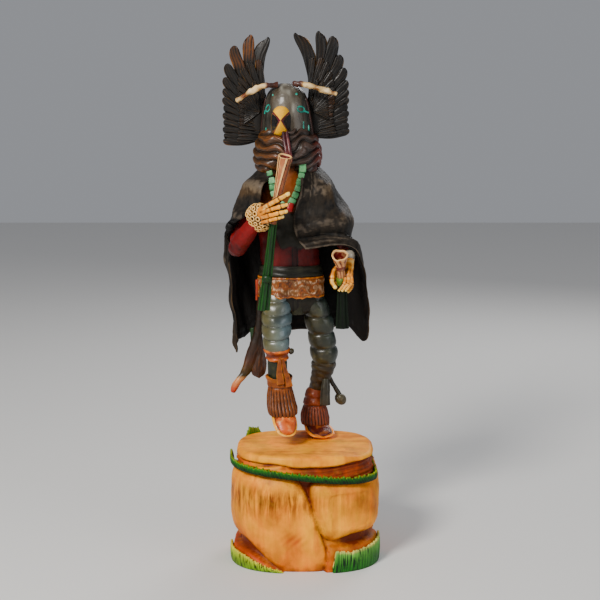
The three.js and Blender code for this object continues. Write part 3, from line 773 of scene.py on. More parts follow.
# %% Grass bands
def grass_band(first, last, columns, blade, low, high, lean=0.0, proud=1.2, seed=0.0, rows=10,
               tuck=0.0, jag=1.5):
    """A closed wall round part of the rock, from angle first to last.

    low and high give its lower edge and its mean top. A blade is `blade` mm wide; its tip rises by
    up to `jag` mm and its face stands out by the ridge function, and `lean` slants the blades.
    Past the widest part of the rock the band is drawn in by `tuck` mm, under the slab.
    """
    angle = np.linspace(first, last, columns)
    arc = np.cumsum(np.hypot(*np.gradient(plan_radius(angle)[None] * np.stack(
        [np.sin(angle), np.cos(angle)]), axis=1)))
    up = np.concatenate([np.linspace(0, 1, rows), np.linspace(1, 0, rows)])
    U, S = np.meshgrid(up, arc, indexing="ij")
    A = wrapped(np.broadcast_to(angle, U.shape))
    wobble = 0.35 * np.sin(S * 0.9 + seed) + 0.2 * np.sin(S * 2.3 + 1.7 * seed)
    tooth = ridges((S + lean * U) / blade + wobble, 0.8)
    tall = 0.7 + 0.5 * np.sin(S * 0.55 + seed) * np.sin(S * 1.9 + 2 * seed)
    taper = ease(0, 2.5, S) * ease(0, 2.5, S[:, -1:] - S)
    bottom, top = low(A), high(A)
    rise = (top - bottom) * (0.35 + 0.65 * taper)
    z = bottom + rise * U + jag * tooth * tall * U**3 * taper
    face = (np.arange(2 * rows) < rows)[:, None]
    swell = proud * np.sin(np.pi * (0.2 + 0.7 * U)) + 0.55 * tooth * (0.4 + 0.6 * U)
    offset = np.where(face, swell * (0.3 + 0.7 * taper), -2.2 + 1.4 * U**2)
    start = np.where(A > 0, 1.15, 1.64)
    radius = plan_radius(A) + offset - tuck * ease(start, start + 0.4, np.abs(A)) * ease(
        np.pi, 2.6, np.abs(A))
    points = np.stack([ROCK_X + radius * np.sin(A), ROCK_Y - radius * np.cos(A), z], -1)
    patches = noise(points, 7)
    shade = np.clip(0.02 + 0.8 * tooth - 0.3 * (1 - U) + 0.25 * patches, 0, 1)
    grid = tag(points, shade, U**3 * np.where(face, 0.85, 1.0))
    return closed(grid.transpose(1, 0, 2))


def paint_grass(name, dark, body, light, tip):
    """Green blades, dark between them, with pale dry paint on the edge of the tips."""
    return painted_wood(name, [(0.0, *body), (0.55, *light), (1.0, *tip)], dark, light, wear=0.55,
                        shine=0.08, fine=500.0, bump=0.2)


deep_grass = paint_grass("grass_deep", (4, 14, 4), (12, 44, 14), (44, 92, 36), (130, 136, 70))
pale_grass = paint_grass("grass_pale", (40, 50, 12), (104, 132, 48), (166, 178, 82), (214, 190, 120))
foot_grass = paint_grass("grass_foot", (14, 36, 18), (52, 102, 50), (112, 156, 92), (226, 208, 148))

piece("turf_ridge",
      [grass_band(first, last, columns, 1.7, lambda a: turf_line(a) - 3.1,
                  lambda a: turf_line(a) + 0.8 + tufts(a), lean=1.5, proud=0.4, tuck=5.5, jag=2.2)
       for first, last, columns in ((-1.66, 1.95, 640), (1.9, 4.4, 360))],
      deep_grass, "grass_paint")
piece("turf_foot_left",
      [grass_band(-1.62, -0.33, 300, 2.4, lambda a: 0 * a + 0.05,
                  lambda a: 1.5 + 8.5 * ease(-0.36, -1.05, a), lean=2.0, proud=0.6, seed=1.0)],
      pale_grass, "grass_paint")
piece("turf_foot_right",
      [grass_band(0.42, 1.6, 300, 1.9, lambda a: 0 * a + 0.05,
                  lambda a: 15.5 + 1.5 * ease(0.8, 1.4, a) - 1.5 * np.exp(-((a - 0.68) / 0.09) ** 2),
                  lean=-1.2, proud=1.0, seed=2.0)],
      foot_grass, "grass_paint")
piece("turf_foot_back",
      [grass_band(2.5, 3.75, 250, 2.4, lambda a: 0 * a + 0.05, lambda a: 10.5 + 0 * a,
                  lean=1.0, proud=1.0, seed=3.0)],
      foot_grass, "grass_paint")

# %% [markdown]
# ## The mask
#
# The head is one bullet of wood, so it is a pile of level ovals with a spline between them. The paint
# is a dark grey-green with pale grey rubbed down the middle of the face. The tint of each point mixes
# that pale paint with painted light: it is high where the surface faces the front, as a painted
# highlight, falls to nothing at the sides, as painted shade, and is lower towards the bottom of the
# mask.

# %% Mask
MASK_LEVELS = np.array([[310, -13.6, 22, 19.9, 19.0], [327, -13.6, 22, 19.5, 18.7],
    [343, -14, 22, 17.6, 17.2], [353, -14.2, 22, 15.2, 15.0], [359.5, -14.4, 22, 10.6, 10.4],
    [362.6, -14.5, 22, 4.0, 4.0]])
points, T, A = stack(MASK_LEVELS, 150, 220)
facing = np.cos(A)
chips = noise(points * [1, 1, 0.35], 3.0)
points = push(points, 0.12 * chips + 0.1 * noise(points, 1.3))
# Painted light: the front of the mask takes pale paint and a painted highlight, and the sides keep
# painted shade.
pale = ease(0.62, 1.0, facing) * (0.7 + 0.45 * chips) * ease(316, 346, points[..., 2])
mask_surface = closed(tag(points, 0.52 + 0.1 * chips, np.clip(pale, 0, 1)))
mask_finish = painted_wood(
    "mask_paint", [(0.0, 24, 22, 17), (0.3, 50, 42, 32), (0.75, 84, 80, 73),
                   (1.0, 126, 124, 117)],
    (12, 12, 10), (140, 134, 124), wear=0.2, shine=0.5, fine=420.0, bump=0.1,
    streaks=(1.0, 1.0, 0.14), streak_scale=420.0, streak_amount=0.16)
piece("mask", [mask_surface], mask_finish, "mask_paint", "figure")


def mask_front(x, z, lift=0.0):
    """The point of the mask above (x, z): y = centre - depth * sqrt(1 - ((x - centre) / width)^2)."""
    t = np.interp(z, MASK_LEVELS[:, 0], np.linspace(0, 1, len(MASK_LEVELS)))
    s = spline(MASK_LEVELS, t)
    reach = np.clip((x - s[..., 1]) / (s[..., 3] + lift), -0.999, 0.999)
    return np.stack([x, s[..., 2] - (s[..., 4] + lift) * np.sqrt(1 - reach**2), z], -1)


STROKE_HEIGHT = 0.45


def stroke(path, width, rows=40):
    """A raised brush stroke along points of the mask, oval in section and rounded at its ends."""
    sizes = np.broadcast_to([width, STROKE_HEIGHT], (len(path), 2))
    return limb(np.concatenate([path, sizes], 1), rows, 12, start=0.08, end=0.08)[0]


def ring_stroke(x, z, wide, tall, lean, width):
    """A closed oval line on the mask: (wide cos, tall sin), turned by lean."""
    turn = np.linspace(0, 2 * np.pi, 33)
    dx, dz = wide * np.cos(turn), tall * np.sin(turn)
    return stroke(mask_front(x + dx * np.cos(lean) - dz * np.sin(lean),
                             z + dx * np.sin(lean) + dz * np.cos(lean), 0.1), width, rows=80)


def dash(x, z_high, z_low, width, slant=0.0):
    """A straight stroke down the mask."""
    z = np.linspace(z_high, z_low, 7)
    return stroke(mask_front(x + slant * (z - z_high), z, 0.1), width)


# %% [markdown]
# ## Turquoise marks on the mask
#
# The marks are thick strokes of pale turquoise: a ring with a tail for each eye, a dot above it and
# short dashes on the cheek. Each stroke is a flat oval carried along a path that lies on the mask,
# so it catches the light at its edge as thick paint does.

# %% Mask marks
tail = np.stack([np.linspace(-1.2, 3.0, 9), 341.9 - 1.6 * np.linspace(0, 1, 9) ** 1.4], -1)
marks = [ring_stroke(-3.3, 343.2, 2.5, 2.0, -0.3, 0.75),
         stroke(mask_front(tail[:, 0], tail[:, 1], 0.1), 0.85),
         ring_stroke(-27.9, 344.0, 1.3, 2.6, -0.3, 0.6), dash(-30.0, 342.6, 339.6, 0.5, 0.2),
         dash(-6.6, 355.2, 353.8, 1.1), dash(-24.2, 354.3, 353.2, 0.6),
         dash(-1.2, 334.2, 327.2, 0.65), dash(2.6, 331.4, 326.0, 0.6), dash(-29.4, 329.6, 324.6, 0.55)]
turquoise = painted_wood("turquoise_marks", (72, 142, 128), (30, 72, 66), (150, 206, 192),
                         wear=0.4, shine=0.3, fine=600.0)
mark_relief = [closed(tag(m, 0.3 + 0.5 * noise(m, 2.2), 0.0)) for m in marks]
piece("mask_marks", mark_relief, turquoise, "turquoise_paint")

# %% [markdown]
# ## The band at the side of the mask
#
# A dark red strap runs down each side, where the mask meets the wing. It is a flat ribbon with a
# groove down its middle, carried down the side of the bullet.

# %% Mask bands
def side_band(angle):
    """A ribbon down the mask at one angle round it; 0 is the front."""
    z = np.linspace(352, 314, 12)
    s = spline(MASK_LEVELS, np.interp(z, MASK_LEVELS[:, 0], np.linspace(0, 1, len(MASK_LEVELS))))
    lean = angle + 0.10 * np.sign(angle) * ease(352, 320, z)
    x, y = s[:, 1] + (s[:, 3] + 0.2) * np.sin(lean), s[:, 2] - (s[:, 4] + 0.2) * np.cos(lean)
    route = np.stack([x, y, z, 1.9 + 0 * z, 0.9 + 0 * z], -1)
    out = (math.sin(angle), -math.cos(angle), 0.0)
    points, T, A = limb(route, 60, 24, front=out, start=0.05, end=0.05)
    groove = ridges(np.cos(A) * 1.5 + 0.5, 0.6)
    return closed(tag(push(points, -0.3 * (1 - groove)), groove, 0.3 + 0.5 * noise(points, 4)))


band_paint = painted_wood("mask_band_paint", [(0.0, 24, 13, 11), (1.0, 44, 20, 16)],
                          (10, 5, 5), (66, 44, 36), wear=0.4, shine=0.35)
piece("mask_bands", [side_band(1.2), side_band(-1.35)], band_paint, "mask_paint")

# %% [markdown]
# ## The beak
#
# The beak is a short pyramid that points at the viewer. Its upper and lower facets are yellow, its
# two side facets are hollowed out and painted black, and a plum-red line follows each edge. The
# root is a rounded rectangle; every section shrinks towards the tip by 1 - t^1.7, and the facets
# are told apart by the angle round the axis.

# %% Beak
BEAK_ROOT, BEAK_TIP = np.array([-17.9, 7.0, 333.4]), np.array([-18.2, -10.5, 335.2])
BEAK_HALF_WIDTH, BEAK_HALF_HEIGHT = 7.7, 12.3
UPPER_CORNER, LOWER_CORNER = 0.68, -0.76
turn = np.linspace(0, 2 * np.pi, 160, endpoint=False)
rise = np.linspace(0, 0.985, 50)
T, A = np.meshgrid(rise, turn, indexing="ij")
elevation = np.arctan2(np.sin(A), np.abs(np.cos(A)))
from_edge = np.minimum(UPPER_CORNER - elevation, elevation - LOWER_CORNER)
side_facet = ease(0.0, 0.16, from_edge)
section = (np.abs(np.cos(A)) ** 2.3 + np.abs(np.sin(A)) ** 2.3) ** (-1 / 2.3)
size = 1 - T**1.7
inset = 1 - 0.3 * side_facet * ease(0.12, 0.4, T) * ease(1.0, 0.75, T)
across = BEAK_HALF_WIDTH * section * size * inset * np.cos(A)
upright = BEAK_HALF_HEIGHT * section * size * (0.5 + 0.5 * inset) * np.sin(A)
middle = BEAK_ROOT + (BEAK_TIP - BEAK_ROOT) * T[..., None]
points = middle + np.stack([across, 0 * across, upright], -1)
line = from_edge * np.hypot(across, upright)
tint = np.where(from_edge > 0, 0.5, 0.0)
tint = np.where((T < 0.14) & (side_facet > 0.5), 0.75, tint)
tint = np.where((line > 0) & (line < 1.15) & (T > 0.1), 1.0, tint)
relief = 0.55 + 0.15 * noise(points, 2.0)
beak_paint = painted_wood(
    "beak_paint", [(0.0, 230, 182, 10), (0.25, 216, 164, 16), (0.45, 10, 7, 7),
                   (0.6, 11, 8, 8), (0.75, 170, 130, 84), (1.0, 92, 34, 50)],
    (30, 16, 8), (250, 214, 110), wear=0.12, shine=0.6, fine=300.0)
piece("beak", [closed(tag(points, relief, tint))], beak_paint, "beak_paint", "beak")


def strap(shift):
    """Half of the plum strap that hangs from the beak over the ruff."""
    stations = np.array([[-15.2, -2.0, 327, 1.2, 1.0], [-14.2, -5.5, 320, 1.4, 1.1],
                         [-12.8, -8.4, 312, 1.5, 1.1], [-12.0, -8.8, 304, 1.5, 1.0]])
    stations[:, 0] += shift
    points, T, A = limb(stations, 40, 20, start=0.06, end=0.06)
    return closed(tag(points, 0.45 + 0.5 * noise(points, 1.8) + 0.2 * np.sin(A), T))


strap_paint = painted_wood("strap_paint", [(0.0, 44, 22, 28), (1.0, 78, 26, 24)],
                           (16, 8, 10), (130, 84, 82), wear=0.4, shine=0.4)
piece("beak_strap", [strap(-1.25), strap(1.45)], strap_paint, "mask_paint")

# %% [markdown]
# ## The ruff
#
# A thick fur collar hides the neck. It was cut as a fat ring with heavy, wavy rolls and finer hair
# lines between them. The rolls are |sin| of the height, bent by slow waves round the ring, and the
# hair lines are the same formula at a finer pitch. Orange stain sits on the left, plum grey on the
# right.

# %% Ruff
RUFF_LEVELS = [[292.5, -13.4, 19, 13.5, 12.5], [296.5, -13.4, 19, 21.2, 20.2],
    [302.5, -13.4, 19, 24.8, 23.6], [309.5, -13.4, 19, 25.6, 24.2], [316.5, -13.4, 19, 24.4, 23.0],
    [323, -13.4, 19, 21.6, 20.2], [328.5, -13.4, 19, 16.5, 15.5]]
points, T, A = stack(RUFF_LEVELS, 190, 420)
swing = np.abs(wrapped(A))
points[..., 2] += 8.5 * np.exp(-((swing / 0.62) ** 4)) * ease(0.6, 0.0, T)
wave = 1.5 * np.cos(2.1 * swing) + 0.8 * np.sin(5.0 * A + 1.0) + 0.4 * np.sin(9.0 * A)
level = (points[..., 2] + 2.4 * wave + 4.4 * noise(points, 11)) / 6.6
rolls = ridges(level, 0.75)
locks = ridges(level * 4.0 + 1.2 * noise(points, 6), 0.9)
points = push(points, 2.3 * rolls - 1.5 + 0.35 * locks * rolls)
left_to_right = np.clip((points[..., 0] + 40) / 52, 0, 1)
ruff_relief = 0.02 + 0.62 * rolls**1.6 + 0.22 * locks
ruff_paint = painted_wood(
    "ruff_paint", [(0.0, 44, 29, 17), (0.4, 54, 34, 14), (0.55, 33, 24, 18),
                   (0.85, 34, 24, 18), (1.0, 66, 24, 14)],
    (7, 5, 3),
    [(0.0, 128, 92, 58), (0.4, 156, 94, 36), (0.55, 100, 88, 84),
     (0.9, 92, 70, 60), (1.0, 146, 70, 50)],
    wear=0.42, shine=0.45, fine=330.0, bump=0.15)
piece("ruff", [closed(tag(points, ruff_relief, left_to_right))], ruff_paint, "fur_paint")

# %% [markdown]
# ## Feathers
#
# Each wing is a fan of flat feathers that start from one hub beside the mask. All the feathers of a
# wing have the same grid, so a whole fan is one array: a curved spine from root to tip, a width that
# swells and then rounds off, and a section with a thin edge. Barbs are grooves that run nearly along
# the feather, and each feather is twisted a little so that one edge stands over its neighbour.

# %% Feather fan
TIP_START, TIP_LENGTH = 0.84, 0.16


def feather_fan(roots, tips, halves, depth, twist, bend, barb=2.3, thick=1.0, rust=0.0, slant=0.0):
    """Grids (feathers, rows, columns, 5) of flat feathers.

    The spine is root + (tip - root) t + bend * 4 t (1 - t) sideways. The half width grows from the
    root and is rounded past t = TIP_START by (1 - u^2.4)^(1/2.4), where u goes from 0 there to 1 at
    the tip. The barbs are |sin| of the way across, bent by slow noise, so that they run out along
    the feather. slant cuts the tip at a slant, and rust is how brown the tint grows towards it.
    """
    t = (1 - np.cos(np.linspace(0, np.pi, 38))) / 2
    angle = np.concatenate([np.linspace(0, np.pi, 20), np.linspace(np.pi, 2 * np.pi, 10)[1:-1]])
    roots, tips = np.asarray(roots, float), np.asarray(tips, float)
    halves, depth, bend, rust = (np.broadcast_to(np.asarray(v, float), len(roots))[:, None, None]
                                 for v in (halves, depth, bend, rust))
    run = tips - roots
    length = np.linalg.norm(run, axis=1)[:, None, None]
    ux, uz = run[:, 0, None, None] / length, run[:, 1, None, None] / length
    T, A = t[None, :, None], angle[None, None, :]
    root_end = np.sqrt(1 - np.clip(1 - T / 0.05, 0, 0.98) ** 2)
    tip_end = (1 - np.clip((T - TIP_START) / TIP_LENGTH, 0, 0.99) ** 2.4) ** (1 / 2.4)
    width = halves * (0.46 + 0.54 * ease(0, 0.55, T)) * root_end * tip_end
    side = np.cos(A)
    across = width * side
    sway = bend * 4 * T * (1 - T)
    s = length * T - slant * halves * side * ease(0.84, 0.97, T)
    x = roots[:, 0, None, None] + ux * s - uz * (across + sway)
    z = roots[:, 1, None, None] + uz * s + ux * (across + sway)
    flow = noise(np.stack([x, z, 9 * np.arange(len(roots))[:, None, None] + 0 * x], -1), 9)
    barbs = ridges(across / barb + 0.5 * flow + 0.05 * s, 0.8)
    shaft = np.exp(-(across / 0.45) ** 2)
    body = thick * np.sin(A) * (0.55 + 0.45 * root_end * tip_end)
    front = ease(0, 0.3, np.sin(A))
    y = depth - body + twist * side * ease(0.05, 0.4, T) - front * (0.3 * shaft + 0.45 * barbs)
    y = y + 0 * x
    points = np.stack([x, y, z], -1)
    edge = ease(0.8, 0.95, side * np.sign(twist)) + 0.3 * ease(0.9, 0.98, np.abs(side))
    relief = np.clip(0.62 * barbs**1.5 + 0.12 * shaft + 0.85 * edge * (0.6 + 0.7 * flow) - 0.05, 0, 1)
    tint = np.clip(rust * ease(0.35, 0.9, T) + 0.3 * flow, 0, 1)
    return tag(points, relief, tint)


feather_paint = painted_wood(
    "feather_paint", [(0.0, 14, 11, 8), (0.4, 26, 18, 10), (1.0, 86, 54, 18)],
    (3, 2, 2), [(0.0, 92, 80, 66), (0.4, 114, 90, 62), (1.0, 152, 104, 48)],
    wear=0.8, fine=380.0, bump=0.15)


def wing(name, hub, side, tips, roots, rust):
    """Flight feathers behind, then a shorter tier of coverts, then the small fan at the hub."""
    tips = np.array(tips, float)
    t = np.linspace(0, 1, len(tips))
    start = spline(roots, t)
    back = feather_fan(start, tips[:, :2], tips[:, 2] + 0.2, 28.6 + 0.1 * np.arange(len(tips)),
                       -0.95 * side,
                       -side * (1.2 + 2.2 * ease(0.75, 0.0, t) + 2.6 * ease(0.14, 0.0, t)),
                       rust=rust, slant=-0.24 * side * ease(0.2, 0.0, t)[:, None, None])
    count = 16
    u = np.linspace(0.06, 0.985, count)
    reach = spline(tips[:, :2], u)
    inner = spline(roots, u)
    cover = inner + (reach - inner) * (0.60 + 0.05 * np.sin(7 * u))[:, None]
    front = feather_fan(inner + (inner - cover) * 0.02, cover, 2.0 + 0.9 * ease(0.6, 0.0, u),
                        25.9 + 0.05 * np.arange(count), -0.8 * side, 0.0, barb=1.6,
                        thick=0.8, rust=0.35)
    few = 12
    u = np.linspace(0.1, 0.97, few)
    reach = spline(tips[:, :2], u)
    small = np.array(hub) + (reach - hub) * 0.42
    near = feather_fan(np.broadcast_to(hub, (few, 2)), small, 1.7, 24.4 + 0.05 * np.arange(few),
                       -0.6 * side, 0.0, barb=1.4, thick=0.8, rust=0.2)
    shoulder, T, A = limb([[hub[0], 27.5, 356, 5.5, 2.2], [hub[0] + 1.5 * side, 27.5, 340, 7.0, 3.0],
                           [hub[0], 27.5, 322, 5.5, 2.2]], 40, 40, start=0.3, end=0.3)
    core = closed(tag(shoulder, 0.3, 0.1))
    piece(name, [core] + [closed(g) for g in (back, front, near)], feather_paint, "feather_paint",
          name)


wing("wing_left", (6.5, 341.0), 1,
     [[-6.2, 400, 4.8], [11.4, 401.4, 4.5], [22.0, 398, 4.5], [27.4, 384, 3.8], [31.0, 374, 3.5],
      [32.6, 364.5, 3.2], [33.2, 357.5, 2.9], [33.4, 351.5, 2.8], [32.6, 346, 2.8],
      [33.6, 341, 2.8], [32.8, 336.5, 2.8], [33.8, 331.5, 2.8], [34.2, 327, 2.6]],
     [[4, 352], [6, 346], [7, 338], [7, 330], [7, 322.5]],
     [0.25, 0.3, 0.1, 0.05, 0.1, 0.05, 0.1, 0.05, 0.1, 0.05, 0.1, 0.1, 0.2])
wing("wing_right", (-34.5, 341.0), -1,
     [[-29.4, 396.6, 4.8], [-42.6, 398.6, 4.5], [-55.2, 390.6, 4.3], [-60.6, 377, 3.8],
      [-62.4, 366.5, 3.4], [-62.8, 358, 3.2], [-63.2, 351, 3.0], [-62.4, 345, 3.0],
      [-63.2, 339, 3.0], [-62.6, 333.5, 3.0], [-63.2, 328, 3.0], [-62.4, 323, 2.9],
      [-63.0, 318.8, 2.7]],
     [[-31, 352], [-33, 346], [-34, 338], [-34.5, 329], [-34.5, 320.5]],
     [0.1, 1.0, 0.8, 0.3, 0.2, 0.3, 0.1, 0.2, 0.3, 0.1, 0.2, 0.1, 0.4])

# %% [markdown]
# ## Horn plumes
#
# Two knotty plumes lie across the wings like eyebrows. They are round sticks that swell and shrink
# along their length, brown at the root and cream beyond it. The lumps come from the noise function,
# and the tint, which is the way along the stick, moves the paint from brown to cream.

# %% Plumes
def plume(name, stations):
    """A lumpy round stick, rounded at both ends."""
    stations = np.array([[x, y, z, r, r] for x, y, z, r in stations])
    points, T, A = limb(stations, 130, 40, start=0.04, end=0.05)
    lumps = noise(points, 4.2)
    points = push(points, 0.95 * lumps + 0.45 * noise(points, 1.6))
    tint = ease(0.24, 0.34, T) * (0.85 + 0.15 * lumps)
    piece(name, [carved(points, 0.5 + 0.5 * lumps, tint)], plume_paint,
          "plume_paint", name)


plume_paint = painted_wood(
    "plume_paint", [(0.0, 62, 36, 30), (0.4, 120, 90, 70), (0.7, 186, 160, 122),
                    (1.0, 206, 182, 148)],
    [(0.0, 24, 14, 11), (1.0, 110, 64, 38)],
    [(0.0, 110, 80, 66), (0.5, 236, 222, 198)], shine=0.3,
    fine=400.0, bump=0.2)
plume("plume_left", [(-9.5, 12.6, 362.0, 2.1), (-0.5, 10.6, 361.8, 2.4), (11, 10.4, 358.4, 2.2),
                     (24.0, 11.2, 354.4, 1.9)])
plume("plume_right", [(-20.0, 12.6, 361.4, 1.9), (-31.5, 10.6, 360.4, 2.2), (-41.5, 10.4, 355.8, 2.2),
                      (-52.0, 11.2, 349.2, 1.8)])

# %% [markdown]
# ## Body and shirt
#
# Only a strip of the body shows between the edges of the robe: brown skin at the throat, a dark panel
# over the chest and a red shirt below it. The dark panel is painted shade on the chest. It is one pile
# of ovals. The tint picks the paint: 0 is the red shirt, 0.5 the dark panel of painted shade and 1 the
# skin, and each border is an S-shaped step in height; at the skin the carver changed brushes.

# %% Body
BODY_LEVELS = [[186, -11, 22, 14.0, 9.0], [190, -11, 22, 19, 12.5], [199, -11, 22, 22.5, 14.2],
    [222, -11.2, 22, 22.2, 14.0], [240, -11.6, 22, 23.2, 14.8], [262, -12, 22, 24, 15.2],
    [282, -12.2, 22, 22, 15.2], [295, -12.5, 22, 15.5, 15.0], [306, -12.8, 22, 13, 13.2],
    [314, -12.8, 22, 12, 12]]
points, T, A = stack(BODY_LEVELS, 220, 260)
x, z = points[..., 0], points[..., 2]
# Painted shade: above shirt_edge the chest is painted dark grey, and below it the red shirt shows.
shirt_edge = 239 + 13 * ease(-17, -26, x) + 1.2 * np.sin(0.45 * x)
skin_edge = 268 + 3 * np.sin(0.2 * x)
tint = 0.5 * ease(-0.5, 0.5, z - shirt_edge) + 0.5 * ease(-0.5, 0.5, z - skin_edge)
tint = np.maximum(tint, 0.5 * ease(212, 209, z))
placket = ease(1.7, 1.3, np.abs(x + 7.4)) * ease(0.5, -0.5, z - shirt_edge)
stitch_line = np.exp(-((np.abs(x + 7.4) - 1.9) / 0.35) ** 2) * ease(0.5, -0.5, z - shirt_edge)
neck_line = np.exp(-((z - shirt_edge) / 0.6) ** 2)
creases = noise(points * [0.5, 0.5, 1], 5.5)
collar_line = np.exp(-((x + 20 + 0.25 * (z - 240)) / 0.6) ** 2) * ease(240, 246, z)
points = push(points, 0.7 * creases + 0.35 * placket - 0.5 * stitch_line - 0.5 * neck_line
              + 0.25 * noise(points, 1.8))
relief = 0.5 + 0.3 * creases - 0.4 * stitch_line - 0.4 * neck_line - 0.3 * collar_line
tint = tint + 0.22 * placket * (tint < 0.3)
shirt_paint = painted_wood(
    "shirt_paint", [(0.0, 68, 4, 0), (0.22, 38, 7, 2), (0.4, 28, 26, 20),
                    (0.6, 28, 26, 19), (0.85, 92, 52, 28), (1.0, 108, 64, 38)],
    (12, 5, 4),
    [(0.0, 108, 18, 8), (0.5, 62, 58, 48), (1.0, 184, 124, 92)],
    wear=0.4, shine=0.12, fine=330.0, bump=0.15)
piece("shirt", [carved(points, relief, tint)], shirt_paint, "shirt_paint")

# %% [markdown]
# ## Sash and belt
#
# Above the belt lies a soft dark sash, and the belt itself is a broad orange-brown strap with worn,
# whitish wave marks cut into it and a lower edge that is not quite straight. Both are rings round
# the waist: the profile goes down the outside and back up the inside, and the marks are pressed into
# the outside by formula.

# %% Rings round the body
def oval_ring(levels, rows, cols, wall, dent):
    """A closed band: down the outside and up the inside of stacked ovals, `wall` mm apart.

    dent(points, T, A) gives (push in mm, relief, tint) for the outside.
    """
    outer, T, A = stack(levels, rows, cols)
    amount, relief, tint = dent(outer, T, A)
    outer = tag(push(outer, amount), relief, tint)
    thin = [[z, x, y, rx - wall, ry - wall] for z, x, y, rx, ry in levels]
    inner = tag(stack(thin, rows, cols)[0], 0.2, 0.0)[::-1]
    return closed(np.concatenate([outer, inner]), ring=True)


def sash_folds(points, T, A):
    """Four soft folds that run round the sash and sag a little in front."""
    folds = ridges(T * 3.0 + 0.25 * np.cos(A) + 0.2 * noise(points, 8), 0.8)
    return 0.6 * folds - 0.3, 0.2 + 0.5 * folds, 0.5 + 0.5 * noise(points, 4)


def belt_marks(points, T, A):
    """Wave marks between two plain rims: |sin| of the height, bent by a slower wave and by noise,
    times |sin| of the way round."""
    arc = 22 * A
    field = ease(0.16, 0.24, T) * ease(0.86, 0.78, T)
    swirl = ridges(T * 3.4 + 0.2 * np.sin(arc / 1.9) + 0.55 * noise(points, 3.6), 0.7)
    fleck = ridges(arc / 1.6 + 1.1 * noise(points, 2.6), 0.8)
    rim = 1 - field
    groove = np.exp(-((T - 0.2) / 0.03) ** 2) + np.exp(-((T - 0.82) / 0.03) ** 2)
    lumps = noise(points, 2.4)
    amount = 0.5 * rim + field * (0.35 * swirl + 0.25 * fleck) - 0.45 * groove + 0.25 * lumps
    relief = 0.5 + 0.22 * rim + field * (0.55 * swirl * fleck - 0.2) - 0.3 * groove + 0.2 * lumps
    return amount, np.clip(relief, 0, 1), np.clip(0.35 * rim + 0.8 * field * swirl, 0, 1)


sash_paint = painted_wood("sash_paint", [(0.0, 18, 17, 13), (1.0, 34, 33, 25)],
                          (6, 6, 5), (66, 66, 54), wear=0.35, shine=0.1)
piece("sash", [oval_ring([[213, -11, 22, 24, 15.8], [218, -11, 22, 24.6, 16.4],
    [224.5, -11, 22, 23.6, 15.4]], 40, 240, 2.0, sash_folds)], sash_paint, "belt_paint")
belt_paint = painted_wood(
    "belt_paint", [(0.0, 88, 54, 30), (0.35, 124, 74, 38), (0.6, 96, 64, 42),
                   (1.0, 124, 96, 74)],
    (26, 11, 4), [(0.0, 176, 110, 60), (0.35, 206, 140, 84), (1.0, 222, 206, 190)],
    wear=0.75, shine=0.4, fine=420.0, bump=0.3)
points_low = [[200.4, -11, 22, 25.2, 17.3], [202.5, -11, 22, 25.6, 17.8], [208, -11, 22, 25.0, 17.2],
    [213.6, -11, 22, 25.4, 17.6], [215.8, -11, 22, 24.8, 17.0]]
belt = oval_ring(points_low, 70, 620, 2.4, belt_marks)
wavy = belt[0]
wavy[:, 2] += (0.55 * np.sin(0.42 * wavy[:, 0]) + 0.3 * np.sin(1.1 * wavy[:, 0])) * ease(
    206, 200, wavy[:, 2])
piece("belt", [belt], belt_paint, "belt_paint")

# %% [markdown]
# ## Small things at the waist
#
# An orange strip hangs at the end of the belt and a plain breechcloth panel between the legs. Both
# are flat ribbons: a limb with a width much larger than its depth.

# %% Strip and breechcloth
def ribbon(stations, folds=0.0):
    """A flat limb with rounded ends, lengthwise folds and small knife marks."""
    points, T, A = limb(stations, 60, 32, start=0.05, end=0.05)
    grooves = ridges(np.cos(A) * 2.0 + 0.5, 0.7)
    marks = noise(points, 2.5)
    points = push(points, 0.2 * marks - folds * (1 - grooves))
    return carved(points, 0.25 + 0.4 * grooves + 0.3 * marks, T)


strip_paint = painted_wood("strip_paint", (128, 58, 26), (40, 14, 6), (196, 112, 62), shine=0.3)
piece("belt_strip", [ribbon([[-36.9, 12, 214, 1.1, 1.0], [-37.0, 11, 206, 1.0, 1.0],
    [-37.2, 11, 198, 0.8, 0.8]])], strip_paint, "belt_paint")
cloth_paint = painted_wood("breechcloth_paint", [(0.0, 24, 23, 15), (1.0, 38, 37, 26)],
                           (8, 7, 5), (76, 72, 54), wear=0.4, shine=0.1)
piece("breechcloth", [ribbon([[-6.2, 11.5, 203, 4.6, 2.0], [-6.0, 11.0, 196, 4.4, 1.8],
    [-5.8, 11.5, 186.5, 4.2, 1.6]], folds=0.5)], cloth_paint, "robe_paint")

# %% [markdown]
# ## Necklace
#
# Square turquoise beads with dark gaps run down both sides of the throat and meet at a small red
# pendant. One bead is a cushion-shaped block, |cos| and |sin| raised to a small power, which squares
# a ball off; all the beads of a strand are one array with the copies in its first axis.

